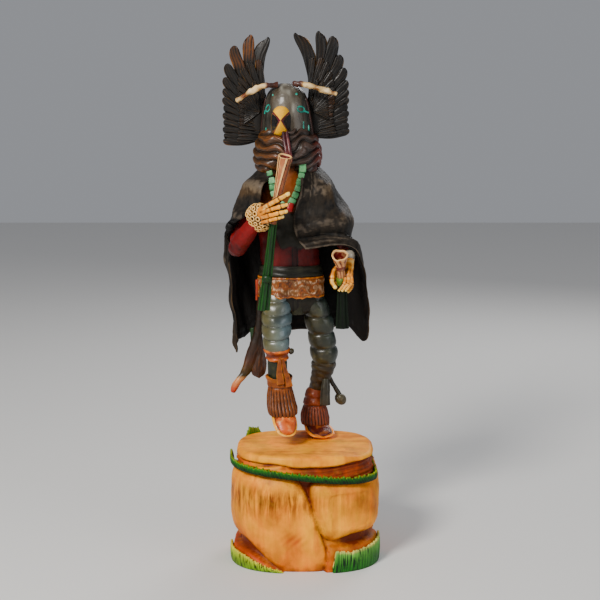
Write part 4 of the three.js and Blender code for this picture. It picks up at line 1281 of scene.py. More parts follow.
# %% Beads
def beads(path, count, half, seed):
    """Square beads along a path, each turned to follow it: sign(c)|c|^0.4 instead of cos."""
    place = spline(path, np.linspace(0, 1, count))
    run = np.gradient(place, axis=0)
    run /= np.linalg.norm(run, axis=1, keepdims=True)
    across = np.cross(run, (0.0, -1.0, 0.0))
    across /= np.linalg.norm(across, axis=1, keepdims=True)
    fore = np.cross(across, run)
    v, u = np.meshgrid(np.linspace(-1.5, 1.5, 11), np.linspace(0, 2 * np.pi, 24, endpoint=False),
                       indexing="ij")
    block = [np.sign(c) * np.abs(c) ** 0.4 for c in (np.cos(v) * np.cos(u), np.cos(v) * np.sin(u),
                                                      np.sin(v))]
    size = half * (1 + 0.12 * np.sin(seed + 2.4 * np.arange(count)))[:, None, None, None]
    grid = place[:, None, None] + size * (
        1.05 * block[0][None, ..., None] * across[:, None, None]
        + 0.7 * block[1][None, ..., None] * fore[:, None, None]
        + 0.95 * block[2][None, ..., None] * run[:, None, None])
    shade = np.broadcast_to((0.5 + 0.5 * np.sin(3.1 * np.arange(count) + seed))[:, None, None],
                            grid.shape[:-1])
    return closed(tag(grid, 0.5 + 0.4 * noise(grid, 1.7), shade))


bead_paint = painted_wood(
    "bead_paint", [(0.0, 92, 138, 100), (0.5, 104, 152, 112), (1.0, 126, 168, 132)],
    (22, 36, 26), (178, 202, 164), wear=0.45, shine=0.35, fine=500.0)
strand_left = [[-2.0, 2.6, 302.8], [-1.9, 2.0, 298.8], [-2.8, 1.8, 294.0], [-3.8, 2.2, 289.1],
    [-5.4, 2.6, 284.3], [-7.2, 3.0, 279.3], [-9.8, 3.4, 274.4]]
strand_right = [[-28.0, 6.4, 301], [-26.8, 4.8, 295.5], [-25.4, 4.2, 290.1], [-24.4, 4.0, 285.1],
    [-23.8, 4.0, 280.5], [-21.5, 4.0, 275.5], [-17.0, 3.8, 272.0]]
piece("necklace", [beads(strand_left, 7, 2.55, 0.4), beads(strand_right, 7, 2.5, 1.9)], bead_paint,
    "turquoise_paint")
cord_paint = painted_wood("necklace_cord_paint", (14, 12, 10), (6, 5, 5), (40, 36, 30),
                          shine=0.3)
cords = [closed(tag(limb([[x, y + 0.5, z, 1.0, 0.8] for x, y, z in strand], 60, 16)[0], 0.4))
         for strand in (strand_left, strand_right)]
piece("necklace_cord", cords, cord_paint, "turquoise_paint")
pendant_paint = painted_wood("pendant_paint", (140, 26, 14), (40, 8, 6), (206, 92, 60), shine=0.5)
piece("pendant", [beads([[-10.6, 2.4, 271.6], [-11.4, 2.0, 268.9]], 2, 2.1, 0.0)], pendant_paint,
    "shirt_paint")

# %% [markdown]
# ## The robe
#
# The robe hangs from the neck over both shoulders and opens in front. Six lines round the body say
# where it hangs: neck, shoulder, upper arm, elbow, hip and hem. A spline runs through the points of
# each line, from the front edge on one side round the back to the other, and a second spline runs
# down from line to line, so the whole cloth is a function of two numbers, u round it and v down it.
# The cloth is carved wood, so it is thick, and a second grid gives its inner side.

# %% Robe surface
turn = np.radians(-140 - 28 * np.arange(11))
NECK = np.stack([-12.5 + 18 * np.cos(turn), 22 + 17 * np.sin(turn), 304 + 0 * turn], -1)
SHOULDER = [[-29, -1, 290], [-38, 4, 290], [-46, 20, 286], [-43, 36, 286], [-30, 46, 287],
    [-12, 50, 288], [8, 46, 287], [20, 35, 285], [24.5, 20, 284], [17, 3, 283], [-4, -3, 283]]
UPPER_ARM = [[-40, -7, 268], [-50, -2, 266], [-53.5, 18, 272], [-50, 38, 268], [-36, 50, 266],
    [-12, 54, 266], [14, 51, 265], [27, 40, 264], [32, 20, 265], [25, -2, 264], [-9, -5, 262]]
ELBOW = [[-58, 5, 256], [-61, 14, 248], [-62, 26, 240], [-54, 44, 238], [-36, 54, 236],
    [-10, 57, 236], [18, 54, 238], [32, 44, 242], [37, 24, 246], [32, -4, 252], [-7, -5, 250]]
HIP = [[-59, 24, 226], [-58, 30, 218], [-56, 40, 205], [-48, 50, 204], [-34, 55, 203], [-8, 57, 203],
    [18, 54, 206], [32, 47, 210], [40, 27, 221], [36, -2, 246], [-4, -5, 244]]
HEM = [[-53.7, 35, 153], [-56, 39, 162], [-46, 46, 164], [-38, 52, 171], [-24, 54, 166],
    [-4, 55, 168], [16, 50, 168], [32, 44, 174], [49, 37, 164], [41.5, -1, 236], [0, -6, 239]]
ROBE_COLS, ROBE_ROWS, ROBE_THICKNESS = 200, 112, 2.4
lines = np.array([NECK, SHOULDER, UPPER_ARM, ELBOW, HIP, HEM], float)
u = np.linspace(0, 1, ROBE_COLS)
v = np.linspace(0, 1, ROBE_ROWS)
across = np.stack([spline(line, u) for line in lines])
cloth = spline(across.reshape(len(lines), -1), v).reshape(ROBE_ROWS, ROBE_COLS, 3)
V, U = np.meshgrid(v, u, indexing="ij")


def cloth_normal(points):
    """Cross product of the two steps of an open grid, pointing away from the body's axis."""
    normal = np.cross(np.gradient(points, axis=1), np.gradient(points, axis=0))
    normal /= np.linalg.norm(normal, axis=-1, keepdims=True) + 1e-9
    away = points - np.array([-11.0, 22.0, 0.0])
    away[..., 2] = 0
    return normal * np.sign((normal * away).sum(-1).mean())


def arc_to_edge(points, axis):
    """Distance in mm from every point to the last row (axis 0) or last column (axis 1)."""
    step = np.linalg.norm(np.diff(points, axis=axis), axis=-1)
    pad = [(0, 0), (0, 0)]
    pad[axis] = (0, 1)
    return np.flip(np.cumsum(np.flip(np.pad(step, pad), axis), axis), axis)


# %% [markdown]
# Folds come next. Broad ones hang below the shoulders as slow waves round the cloth, softer dents
# come from noise, and a raised border follows the front flap and the hem at a fixed distance from
# the edge. The distance is measured along the cloth, so the border keeps its width round corners.

# %% Robe folds and border
normal = cloth_normal(cloth)
to_hem, to_flap = arc_to_edge(cloth, 0), arc_to_edge(cloth, 1)
to_front = np.flip(arc_to_edge(np.flip(cloth, 1), 1), 1)
hang = ease(0.3, 0.85, V) * ease(0, 0.08, U) * ease(1, 0.86, U)
folds = np.sin(2 * np.pi * (U * 6.5 + 0.12 * np.sin(5 * V))) * hang
sag = 0.16 * noise(cloth, 17)
drape = np.sin(2 * np.pi * (V * 3.0 - 2.4 * U + sag)) * ease(0.64, 0.78, U) * ease(
    0.05, 0.3, V) * ease(1.0, 0.75, V)
drape = drape + np.sin(2 * np.pi * (V * 5.0 + 1.2 * U)) * ease(0.22, 0.1, U) * ease(
    0.1, 0.2, V) * ease(0.6, 0.4, V)
dents = noise(cloth, 15)
strokes = noise(cloth * [1.0, 1.0, 0.6], 2.2) + 0.6 * noise(cloth * [1.3, 1.3, 1.0], 1.1)
edge = np.minimum(to_hem, to_flap)
edge_ripple = edge + 0.35 * noise(cloth, 5)
border = ease(7.6, 6.9, edge_ripple) * ease(0.0, 0.8, edge_ripple)
groove = np.exp(-((edge_ripple - 7.4) / 0.55) ** 2) + 0.5 * np.exp(-((edge_ripple - 2.2) / 0.45) ** 2)
welts = np.cos(2 * np.pi * edge_ripple / 3.7) * ease(12.5, 9.5, edge_ripple) * ease(6.5, 8, edge_ripple)
amount = (1.6 * folds + 2.7 * drape + 1.8 * dents + 0.28 * strokes + 0.5 * border - 0.7 * groove
          + 0.8 * welts)
outer = cloth + normal * amount[..., None]
shell_normal = cloth_normal(outer)
rim_distance = np.minimum(np.minimum(to_hem, to_flap), to_front)
wall = ROBE_THICKNESS * (0.45 + 0.55 * np.sqrt(np.clip(rim_distance / 2.0, 0, 1)))
inner = outer - shell_normal * wall[..., None] - normal * (0.5 * dents)[..., None]


def patch(points, x, z, wide, tall):
    """A soft oval of paint centred at (x, z)."""
    return np.exp(-((points[..., 0] - x) / wide) ** 2 - ((points[..., 2] - z) / tall) ** 2)


# Painted highlight: brown patches where the light falls on the shoulder folds; the robe also turns
# browner below 180 mm.
brown = (0.6 * patch(outer, -44, 281, 11, 6.5) + 0.35 * patch(outer, 20, 281, 6, 14)
         + 0.4 * patch(outer, 29, 266, 3, 5) + 0.35 * ease(180, 165, outer[..., 2]))
highlight = np.exp(-((edge_ripple - 8.6) / 0.8) ** 2) + np.exp(-((edge_ripple - 0.6) / 0.9) ** 2)
relief = 0.34 + 0.2 * folds + 0.42 * drape + 0.3 * dents + 0.34 * strokes + 0.4 * welts
# The last term is a painted highlight on the left shoulder: pale dry paint where the light falls.
relief = relief + 0.55 * highlight - 0.5 * groove + 0.3 * patch(outer, -42, 282, 14, 9)
relief = np.clip(relief, 0, 1)
outer_grid = tag(outer, relief, np.clip(0.05 + brown * (0.7 + 0.4 * dents), 0, 0.7))
# Painted shade: the inner side of the robe is painted near black.
inner_grid = tag(inner, 0.35 + 0.15 * dents, 1.0)
robe_paint = painted_wood(
    "robe_paint", [(0.0, 21, 18, 15), (0.3, 34, 27, 20), (0.7, 72, 56, 40),
                   (0.85, 15, 11, 8), (1.0, 7, 5, 4)],
    [(0.0, 7, 6, 5), (1.0, 3, 2, 2)],
    [(0.0, 92, 84, 76), (0.3, 106, 94, 80), (0.7, 128, 110, 90),
     (0.85, 22, 18, 14), (1.0, 16, 13, 11)],
    wear=0.7, shine=0.04, fine=260.0, bump=0.35, streaks=(1.0, 1.0, 0.35), streak_scale=260.0,
    streak_amount=0.14, roughness=0.16)
piece("robe", [slab(outer_grid, inner_grid)], robe_paint, "robe_paint")

# %% [markdown]
# ## Sleeves and arms
#
# The right arm bends at the elbow and comes up across the chest in a red sleeve; the left arm hangs
# inside the robe. Each is an oval carried along three or four stations. Creases gather at the bend
# of the elbow, so their depth depends on the way along the arm.

# %% Arms
def sleeve(stations, gather):
    """A limb with shallow cross creases that are deepest at t = gather."""
    points, T, A = limb(stations, 120, 96, start=0.1, end=0.02)
    crease = ridges(T * 9 + 0.35 * np.sin(A + 1) + 0.3 * noise(points, 9), 0.8)
    depth = np.exp(-((T - gather) / 0.22) ** 2)
    lumps = noise(points, 6)
    points = push(points, 0.6 * depth * (crease - 0.5) + 0.5 * lumps + 0.15 * noise(points, 1.8))
    relief = 0.55 + 0.3 * lumps - 0.25 * depth * (1 - crease)
    return carved(points, relief, T)


sleeve_paint = painted_wood(
    "sleeve_paint", [(0.0, 52, 9, 2), (0.5, 78, 14, 5), (1.0, 104, 24, 10)],
    (26, 5, 2), (152, 52, 30), wear=0.4, shine=0.12, fine=280.0,
    streaks=(1.0, 1.0, 0.5), streak_scale=240.0, streak_amount=0.14)
piece("sleeve_right", [sleeve([[-32, 24, 284, 7, 7], [-43, 17, 264, 7, 7], [-50, 10, 246, 6.8, 6.8],
    [-51, 6, 238, 5, 5]], 0.8), sleeve([[-52.6, 5.5, 234.6, 3.4, 3.4], [-51.8, 2.5, 238.5, 6.3, 6.2],
    [-48.0, -2.5, 245.5, 7.0, 7.0], [-43.0, -7.5, 252.5, 6.6, 6.6], [-37.5, -12, 259.5, 5.6, 5.6]],
    0.35)], sleeve_paint, "shirt_paint")
dark_sleeve = painted_wood("sleeve_shadow_paint", [(0.0, 44, 14, 8), (1.0, 70, 22, 12)],
                           (12, 5, 4), (110, 46, 34), wear=0.3, shine=0.25)
piece("sleeve_left", [sleeve([[8, 22, 284, 7.2, 7.2], [18.5, 16, 266, 6.2, 6.2],
    [26.5, 10, 248, 5.6, 5.6], [31.5, 5, 239, 5.0, 5.0]], 0.7)], dark_sleeve, "shirt_paint")

# %% [markdown]
# ## The crocheted cuff
#
# The sleeve ends in a lace cuff: rows of small rings with dark holes. A ring is a torus, one circle
# carried round another, and all the rings are copies of one grid. Each is set on an oval barrel,
# widest in the middle, turned to lie flat on it, and squeezed a little out of round.

# %% Cuff
CUFF_TOP, CUFF_END = np.array([-28.8, -17.5, 267.0]), np.array([-38.4, -11.5, 261.0])


def axis_frame(base, tip):
    """Three unit directions: from base to tip, to the side of that line, and to its front."""
    run = (tip - base) / np.linalg.norm(tip - base)
    side = np.cross(run, (0.0, -1.0, 0.0))
    side /= np.linalg.norm(side)
    return run, side, np.cross(side, run)


def on_cuff(t, angle, grow=0.0):
    """A point of the cuff's barrel: middle(t) + width(t) cos side + depth(t) sin fore."""
    _, side, fore = axis_frame(CUFF_TOP, CUFF_END)
    middle = CUFF_TOP + (CUFF_END - CUFF_TOP) * np.asarray(t)[..., None]
    flare = 1 + 0.25 * np.sin(np.pi * np.clip(t, 0, 1))
    width, depth = (8.0 * flare + 0.6 * t + grow)[..., None], (5.6 * flare + grow)[..., None]
    return middle + width * np.cos(angle)[..., None] * side + depth * np.sin(angle)[..., None] * fore


def rings(count_along, count_round, radius, thick):
    """Tori (R + r cos b) on the cuff; R is the ring, r its thread, b the angle round the thread."""
    k = np.arange(count_along * count_round)
    row, col = k // count_round, k % count_round
    t = 0.06 + 0.9 * row / (count_along - 1)
    angle = 2 * np.pi * (col + 0.5 * (row % 2)) / count_round
    place = on_cuff(t, angle)
    east = on_cuff(t, angle + 0.05) - place
    north = on_cuff(t + 0.02, angle) - place
    east /= np.linalg.norm(east, axis=-1, keepdims=True)
    north -= (north * east).sum(-1, keepdims=True) * east
    north /= np.linalg.norm(north, axis=-1, keepdims=True)
    out = np.cross(east, north)
    out *= np.sign((out * (place - (CUFF_TOP + CUFF_END) / 2)).sum(-1, keepdims=True))
    a, b = np.meshgrid(np.linspace(0, 2 * np.pi, 16, endpoint=False),
                       np.linspace(0, 2 * np.pi, 8, endpoint=False), indexing="ij")
    wobble = 1 + 0.14 * np.sin(3.7 * k)[:, None, None]
    reach = radius * wobble + thick * np.cos(b)
    shift = [v[:, None, None] for v in (place, east, north, out)]
    grid = (shift[0] + (reach * np.cos(a))[..., None] * shift[1]
            + (reach * 0.92 * np.sin(a))[..., None] * shift[2]
            + (thick * 1.1 * np.sin(b) + 0 * a)[..., None] * shift[3])
    return closed(tag(grid, 0.45 + 0.45 * np.sin(b) + 0.1 * np.cos(b)), ring=True)


t, angle = np.meshgrid(np.linspace(-0.02, 1.02, 30), np.linspace(0, 2 * np.pi, 72, endpoint=False),
                       indexing="ij")
under = on_cuff(t, angle, -1.1)
ribs = ridges(angle * 9 / np.pi, 0.6)
cuff_core = closed(tag(under, 0.05 + 0.1 * ribs, 0.0))
cuff_paint = painted_wood(
    "cuff_paint", (190, 142, 92), (50, 18, 5), (238, 214, 172), wear=0.75, shine=0.35,
    fine=500.0, bump=0.25)
piece("cuff_right", [cuff_core, rings(4, 14, 1.5, 0.6)], cuff_paint, "shirt_paint")

# %% [markdown]
# ## Hands
#
# The hands are tan wood with dark lines between the fingers. A finger is a limb whose width swells
# at the joints, by a small cosine bump at each one, and its tip is rounded. The back of the hand is
# a broad oval, with shallow grooves that run from the wrist to the gaps between the fingers.

# %% Hand parts
def finger(stations, joints=(0.34, 0.68)):
    """A limb with a nail, whose knuckles stand out by 0.28 exp(-((t - joint) / 0.07)^2) mm and are
    creased on top."""
    points, T, A = limb(stations, 90, 30, start=0.05, end=0.09)
    knuckle = sum(np.exp(-((T - joint) / 0.07) ** 2) for joint in joints)
    crease = sum(np.exp(-((T - joint) / 0.026) ** 2) for joint in joints)
    nail = ease(0.84, 0.87, T) * ease(0.99, 0.96, T) * ease(0.35, 0.6, np.sin(A))
    points = push(points, 0.28 * knuckle - 0.3 * crease * ease(-0.2, 0.4, np.sin(A)) + 0.15 * nail
                  + 0.18 * noise(points, 1.8))
    relief = 0.62 + 0.2 * knuckle - 0.75 * crease + 0.35 * nail + 0.2 * noise(points, 2.2)
    relief = relief - 0.9 * ease(0.2, 0.6, np.abs(np.cos(A)) ** 3)
    return carved(points, relief, T)


def back_of_hand(stations, gaps):
    """A broad limb with `gaps` grooves along it, deeper towards the fingers."""
    points, T, A = limb(stations, 80, 90, start=0.12, end=0.1)
    grooves = ridges(np.cos(A) * gaps / 2 + 0.5, 0.45)
    depth = ease(0.25, 0.9, T) * ease(0, 0.4, np.sin(A))
    points = push(points, 0.4 * noise(points, 4) - 0.8 * depth * (1 - grooves))
    relief = 0.5 + 0.4 * noise(points, 2.4) - 0.7 * depth * (1 - grooves)
    return carved(points, relief, 0.2 + 0.3 * T)


skin_paint = painted_wood(
    "skin_paint", [(0.0, 186, 120, 56), (0.5, 206, 144, 72), (1.0, 226, 184, 120)],
    (50, 20, 4), (250, 222, 166), wear=0.8, shine=0.3, fine=420.0, bump=0.15)
right_hand = [
    back_of_hand([[-35.0, -17.0, 264.6, 3.6, 3.0], [-32.6, -19.6, 266.8, 5.0, 3.6],
                  [-29.2, -22.4, 268.6, 5.6, 3.8], [-25.6, -25, 270.5, 4.4, 3.2]], 4),
    finger([[-31.5, -22, 271.0, 2.3, 2.2], [-25.0, -29.0, 275.0, 2.3, 2.2],
            [-18.5, -33.0, 279.0, 2.15, 2.1], [-11.0, -33.5, 283.4, 1.7, 1.6]], (0.3, 0.66)),
    finger([[-30.5, -23, 268.6, 2.0, 2.0], [-24.5, -30.0, 271.0, 2.0, 2.0],
            [-18.0, -33.0, 273.4, 1.9, 1.9], [-12.6, -31.5, 274.8, 1.5, 1.5]]),
    finger([[-32.0, -22, 264.6, 2.0, 2.0], [-26.0, -29.5, 266.6, 2.0, 2.0],
            [-19.5, -32.5, 268.4, 1.9, 1.9], [-12.8, -30.5, 269.9, 1.5, 1.5]]),
    finger([[-31.5, -21, 260.8, 1.8, 1.8], [-26.0, -28.5, 262.8, 1.8, 1.8],
            [-20.5, -31.0, 264.6, 1.7, 1.7], [-15.8, -29.5, 266.0, 1.4, 1.4]]),
    finger([[-29.5, -17, 270, 2.6, 2.4], [-24.0, -15.5, 274, 2.4, 2.2],
            [-18.0, -17.5, 277.5, 1.9, 1.8]], (0.5,))]
piece("hand_right", right_hand, skin_paint, "skin_paint")
left_hand = [
    back_of_hand([[33.0, 1, 236, 3.8, 3.8], [33.0, -4, 229, 3.7, 3.8], [32.4, -8.5, 222, 4.0, 4.2],
                  [31.0, -11.5, 215.5, 4.2, 3.8]], 3),
    back_of_hand([[31.0, -6, 224, 3.4, 3.0], [26.5, -4.2, 218, 5.0, 3.6],
                  [22.5, -7.5, 213, 3.2, 3.0]], 2),
    finger([[23.2, -7.5, 226.0, 1.5, 1.5], [20.8, -11.5, 222.0, 1.9, 1.8],
            [20.2, -14.5, 215.5, 2.1, 2.0], [23.5, -17.2, 210.8, 1.7, 1.6]], (0.55,)),
    finger([[34.4, -10.5, 219.5, 1.8, 1.8], [34.4, -14.8, 215.5, 1.8, 1.7],
            [31.8, -17.5, 211.6, 1.5, 1.4], [29.6, -17.6, 209.2, 1.2, 1.1]], (0.4,)),
    finger([[32.2, -12.5, 219.5, 1.7, 1.7], [31.9, -16.4, 215.2, 1.7, 1.6],
            [29.2, -18.3, 211.6, 1.4, 1.3], [27.0, -18.0, 209.0, 1.2, 1.1]], (0.4,)),
    finger([[29.8, -14.0, 218.5, 1.6, 1.6], [29.2, -17.4, 214.6, 1.6, 1.5],
            [26.6, -18.8, 211.4, 1.3, 1.2], [24.9, -18.4, 209.2, 1.1, 1.0]], (0.4,)),
    finger([[34.6, -7.5, 217.5, 1.6, 1.6], [35.0, -11.2, 212.6, 1.6, 1.5],
            [33.2, -14.2, 209.2, 1.3, 1.2], [31.6, -14.6, 207.8, 1.1, 1.0]], (0.4,))]
piece("hand_left", left_hand, skin_paint, "skin_paint")
bracelet_paint = painted_wood("bracelet_paint", (132, 126, 116), (50, 40, 32),
                              (206, 202, 194), wear=0.6, shine=0.5)
bangle = limb([[33.2, 1.0, 235.8, 3.9, 3.8], [33.2, -0.1, 234.4, 4.6, 4.5],
    [33.1, -1.6, 232.2, 4.6, 4.5], [33.0, -3.0, 230.4, 4.2, 4.0]], 30, 64)[0]
piece("bracelet_left", [closed(tag(bangle, 0.5 + 0.4 * noise(bangle, 2.5)))], bracelet_paint,
    "turquoise_paint")

# %% [markdown]
# ## Yucca whips
#
# Each hand holds a bundle of leaves in a pale wooden tube that flares towards its mouth. The tube is
# a turned profile: up the outside, over the rim and down into the bore, so its mouth is really
# hollow. Cream lines and a darker panel on the long tube follow the angle round it.

# %% Tubes
def turned(profile, base, tip, cols=96):
    """A profile of (distance along, radius) turned round the axis from base to tip."""
    profile, base, tip = (np.asarray(v, float) for v in (profile, base, tip))
    run, side, fore = axis_frame(base, tip)
    angle = np.linspace(0, 2 * np.pi, cols, endpoint=False)
    S, A = np.meshgrid(profile[:, 0], angle, indexing="ij")
    R = profile[:, 1:2] * np.ones_like(A)
    return (base + S[..., None] * run + (R * np.cos(A))[..., None] * side
            + (R * np.sin(A))[..., None] * fore), S, A


def tube_profile(outside, wall, bore):
    """Up the outside stations, round the rim in half a circle, and down the bore.

    Returns the profile and the numbers of its first row on the rim and in the bore.
    """
    along = spline(outside, np.linspace(0, 1, 70))
    top, radius = along[-1]
    swing = np.linspace(0.25, np.pi, 8)
    rim = np.stack([top + wall / 2 * np.sin(swing), radius - wall / 2 * (1 - np.cos(swing))], -1)
    down = np.linspace(0, 1, 16)[1:]
    inside = np.stack([top - bore * down, (radius - wall) * (1 - 0.35 * down)], -1)
    return np.concatenate([along, rim, inside]), len(along), len(along) + len(rim)


tube_paint = painted_wood(
    "tube_paint", [(0.0, 118, 72, 56), (0.3, 154, 106, 84), (0.5, 192, 152, 116),
                   (0.7, 222, 190, 150), (0.85, 90, 30, 6), (1.0, 74, 22, 4)],
    (34, 12, 4), (240, 208, 164), shine=0.35, fine=420.0, bump=0.2)


def tube(name, base, tip, outside, wall, bore, stripes, node_name, slant, ragged=0.0):
    """A hollow flared tube; stripes(S, A, length) gives (tint, relief) for its outside.

    Near the mouth each point slides along the axis by ragged (0.7 sin 2A + 0.4 sin 5A) - slant sin A
    mm, so the mouth is cut at a slant, lower in front, with an uneven rim.
    """
    profile, body_rows, rim_end = tube_profile(outside, wall, bore)
    points, S, A = turned(profile, base, tip)
    row = np.arange(len(profile))[:, None]
    tint, relief = stripes(S, A, outside[-1][0])
    chips = noise(points, 2.0)
    tint = np.where(row >= body_rows, 0.6, tint)
    tint = np.where(row >= rim_end, 0.95, tint)
    relief = np.where(row >= body_rows, 0.6, relief) + 0.15 * chips
    lift = 0.2 * chips * (row < rim_end) - 0.4 * (relief < 0.3) * (row < body_rows)
    points = points + (points - np.roll(points, 48, 1)) * (0.04 * lift)[..., None]
    uneven = ragged * (0.7 * np.sin(2 * A + 0.5) + 0.4 * np.sin(5 * A)) - slant * np.sin(A)
    uneven = uneven * (S / outside[-1][0]) ** 6
    points = points + uneven[..., None] * axis_frame(np.array(base), np.array(tip))[0]
    piece(name, [carved(points, relief, tint)], tube_paint, "cane_paint",
          node_name)


def long_stripes(S, A, length):
    """Cream wall on the left, a panel split by a cream line that wanders inward, and dark lines."""
    up = np.clip(S / length, 0, 1)
    edge = 2.18 - 0.9 * up
    cream = (A > 2.62) & (A < 3.9)
    line = (np.abs(A - edge) < 0.15) | (np.abs(A - 2.22 - 0.1 * up) < 0.06) | (A < 0.25)
    dark = (np.abs(A - 2.5) < 0.09) | (np.abs(A - edge + 0.26) < 0.08) | (np.abs(A - 0.4) < 0.07)
    tint = np.where(cream | line, 0.62, np.where(A < edge, 0.02, 0.2))
    return tint, np.where(dark, 0.04, 0.55 + 0.1 * np.sin(23 * A))


def short_stripes(S, A, length):
    """Brown wood with rough cream ridges that widen towards the mouth."""
    up = np.clip(S / length, 0, 1)
    rough = ridges(4 * A / np.pi + 0.5 * np.sin(5 * up) + 0.4, 0.7)
    return 0.1 + 0.35 * rough, 0.12 + 0.42 * rough + 0.35 * ease(0.86, 0.97, up)


tube("whip_right", (-24.2, -23.2, 260), (-14.6, -26.2, 309), [[0, 3.0], [8, 3.0], [21, 3.2],
    [34, 4.0], [45, 4.8], [50.2, 5.2]], 1.0, 14, long_stripes, "whip_right", 1.1, 0.25)
tube("whip_left", (27.4, -10.5, 213), (25.8, -19.0, 236.5), [[0, 3.0], [6, 3.0], [13, 3.2],
    [18.5, 4.4], [24.6, 6.4]], 1.4, 12, short_stripes, "whip_left", 1.2, 0.6)

# %% [markdown]
# ## Leaves
#
# A few long green blades come out of each tube side by side. A blade is a flat limb with a dark
# groove down its middle. The blades part a little at the lower end, and a ring of the same green
# ties the long bundle two thirds of the way down.

# %% Whip leaves
def leaves(top, low, spreads, half):
    """Flat blades from top to low, each moved sideways by its own spread at the lower end."""
    top, low = np.array(top, float), np.array(low, float)
    surfaces = []
    for k, (start, end, forward) in enumerate(spreads):
        path = np.stack([top + (low - top) * s for s in (0, 0.35, 0.7, 1.0)])
        path[:, 0] += np.array([start, start * 0.8 + end * 0.2, start * 0.3 + end * 0.7, end])
        path[:, 1] += forward
        size = np.array([[half * 0.9, 0.9], [half, 1.0], [half * 1.05, 0.9], [half * 1.2, 0.7]])
        points, T, A = limb(np.concatenate([path, size], 1), 120, 36, start=0.01, end=0.015)
        fold = np.exp(-(np.cos(A) / 0.22) ** 2) * ease(0, 0.5, np.sin(A))
        edge = ease(0.55, 0.9, np.abs(np.cos(A)))
        points = push(points, 0.15 * noise(points * [1, 1, 0.3], 1.5) - 0.5 * fold)
        relief = 0.45 - 0.4 * fold + 0.35 * edge + 0.2 * noise(points * [1, 1, 0.25], 1.6)
        surfaces.append(carved(points, relief, 0.3 * k / len(spreads) + 0.5 * T))
    return surfaces


leaf_paint = painted_wood(
    "leaf_paint", [(0.0, 10, 36, 9), (1.0, 14, 50, 13)], (3, 9, 2),
    (48, 98, 38), wear=0.36, fine=300.0, bump=0.15, streaks=(1.0, 1.0, 0.08),
    streak_scale=420.0, streak_amount=0.22)
shaded_leaf_paint = painted_wood(
    "leaf_shaded_paint", [(0.0, 4, 15, 4), (1.0, 3, 10, 3)], (1, 4, 1),
    (16, 36, 13), wear=0.3, shine=0.0, fine=300.0, bump=0.15, streaks=(1.0, 1.0, 0.08),
    streak_scale=420.0, streak_amount=0.12, roughness=0.2)
tie_ring = limb([[-28.0, -21.4, 221.4, 3.0, 2.6], [-28.2, -21.3, 220.0, 3.9, 3.3],
    [-28.5, -21.2, 217.6, 3.9, 3.3], [-28.7, -21.1, 216.2, 3.0, 2.6]], 24, 48)[0]
piece("whip_right_leaves",
      leaves((-23.2, -22.6, 264), (-30.9, -19.5, 194.5),
             [(-1.3, -2.8, 0.6), (1.3, 2.6, 0.9), (-0.1, -0.8, -1.2), (0.4, 0.9, 1.7)], 1.55)
      + [closed(tag(tie_ring, 0.5 + 0.3 * noise(tie_ring, 2)))], leaf_paint, "leaf_paint")
piece("whip_left_leaves", leaves((27.6, -10.5, 219), (28.4, -5.5, 178.5), [(-1.6, -3.0, 0.0),
    (1.6, 2.8, 0.4), (0.0, 0.2, -1.3)], 1.9), shaded_leaf_paint, "leaf_paint")
green_end = turned([[0, 3.0], [1.0, 3.7], [4.0, 3.9], [6.0, 3.6], [6.6, 2.0]], (27.4, -11.0, 213.0),
    (26.8, -14.5, 222.0), 64)[0]
stub_paint = painted_wood("leaf_stub_paint", (92, 110, 60), (40, 30, 12), (176, 180, 120), shine=0.3)
piece("whip_left_stub", [closed(tag(green_end, 0.5 + 0.3 * noise(green_end, 2)))], stub_paint,
    "leaf_paint")

# %% [markdown]
# ## Leggings
#
# The legs are glossy blue-grey bulges, one under another, like quilted cloth tied at intervals. A
# leg is a smooth limb first. Then every point is pushed out by a bulge that depends on its height:
# between two joints the push is (1 - |s|^2.6)^0.5 with s from -1 to 1, which leaves a crease at
# each joint. The joints sag towards the front, by a cosine of the angle.

# %% Legging bulges
def quilted_leg(stations, joints, sag, puff):
    """A limb whose joints, given as heights in mm, pinch it into bulges."""
    points, T, A = limb(stations, 210, 150, start=0.03, end=0.03)
    facing = np.sin(A)
    height = points[..., 2] + sag * facing + 0.5 * np.sin(2 * A + 0.7) + 0.6 * noise(points, 9)
    edges = np.array([400.0, *joints, 0.0])
    k = np.clip(np.searchsorted(-edges, -height, side="right") - 1, 0, len(edges) - 2)
    upper, lower = edges[k], edges[k + 1]
    upper = np.where(k == 0, lower + 13, upper)
    lower = np.where(k == len(edges) - 2, upper - 13, lower)
    s = np.clip((2 * height - upper - lower) / (upper - lower), -1, 1)
    bulge = np.sqrt(1 - np.abs(s) ** 2.6)
    dents = noise(points * [1, 1, 0.8], 6)
    points = push(points, puff * (bulge - 0.8) + 0.45 * dents + 0.1 * noise(points, 2))
    relief = 0.08 + 0.5 * ease(0.1, 0.6, bulge) + 0.2 * dents + 0.1 * noise(points, 2.5)
    tint = np.clip(0.5 - 0.5 * np.cos(A - 0.4) + 0.2 * noise(points, 7), 0, 1)
    return carved(points, relief, tint)


legging_paint = painted_wood(
    "legging_paint", [(0.0, 70, 68, 48), (0.35, 78, 84, 78), (0.7, 76, 88, 92),
                      (1.0, 62, 74, 76)],
    (16, 18, 15), [(0.0, 140, 126, 90), (0.5, 134, 140, 132), (1.0, 126, 142, 148)],
    wear=0.42, shine=0.8, fine=240.0, bump=0.1, streaks=(0.4, 1.0, 1.0), streak_scale=150.0,
    streak_amount=0.2, roughness=-0.08)
piece("legging_right", [quilted_leg([[-21.3, 21, 208, 11, 10.4], [-21.8, 14, 193, 11.2, 10.6],
    [-22.0, 8.5, 178, 11.2, 10.4], [-22.0, 4.5, 165, 9.8, 9.4], [-21.8, 4, 157, 7.6, 7.4]],
    [199, 189.4, 180.6, 170.8], 2.2, 2.2)], legging_paint, "legging_paint")
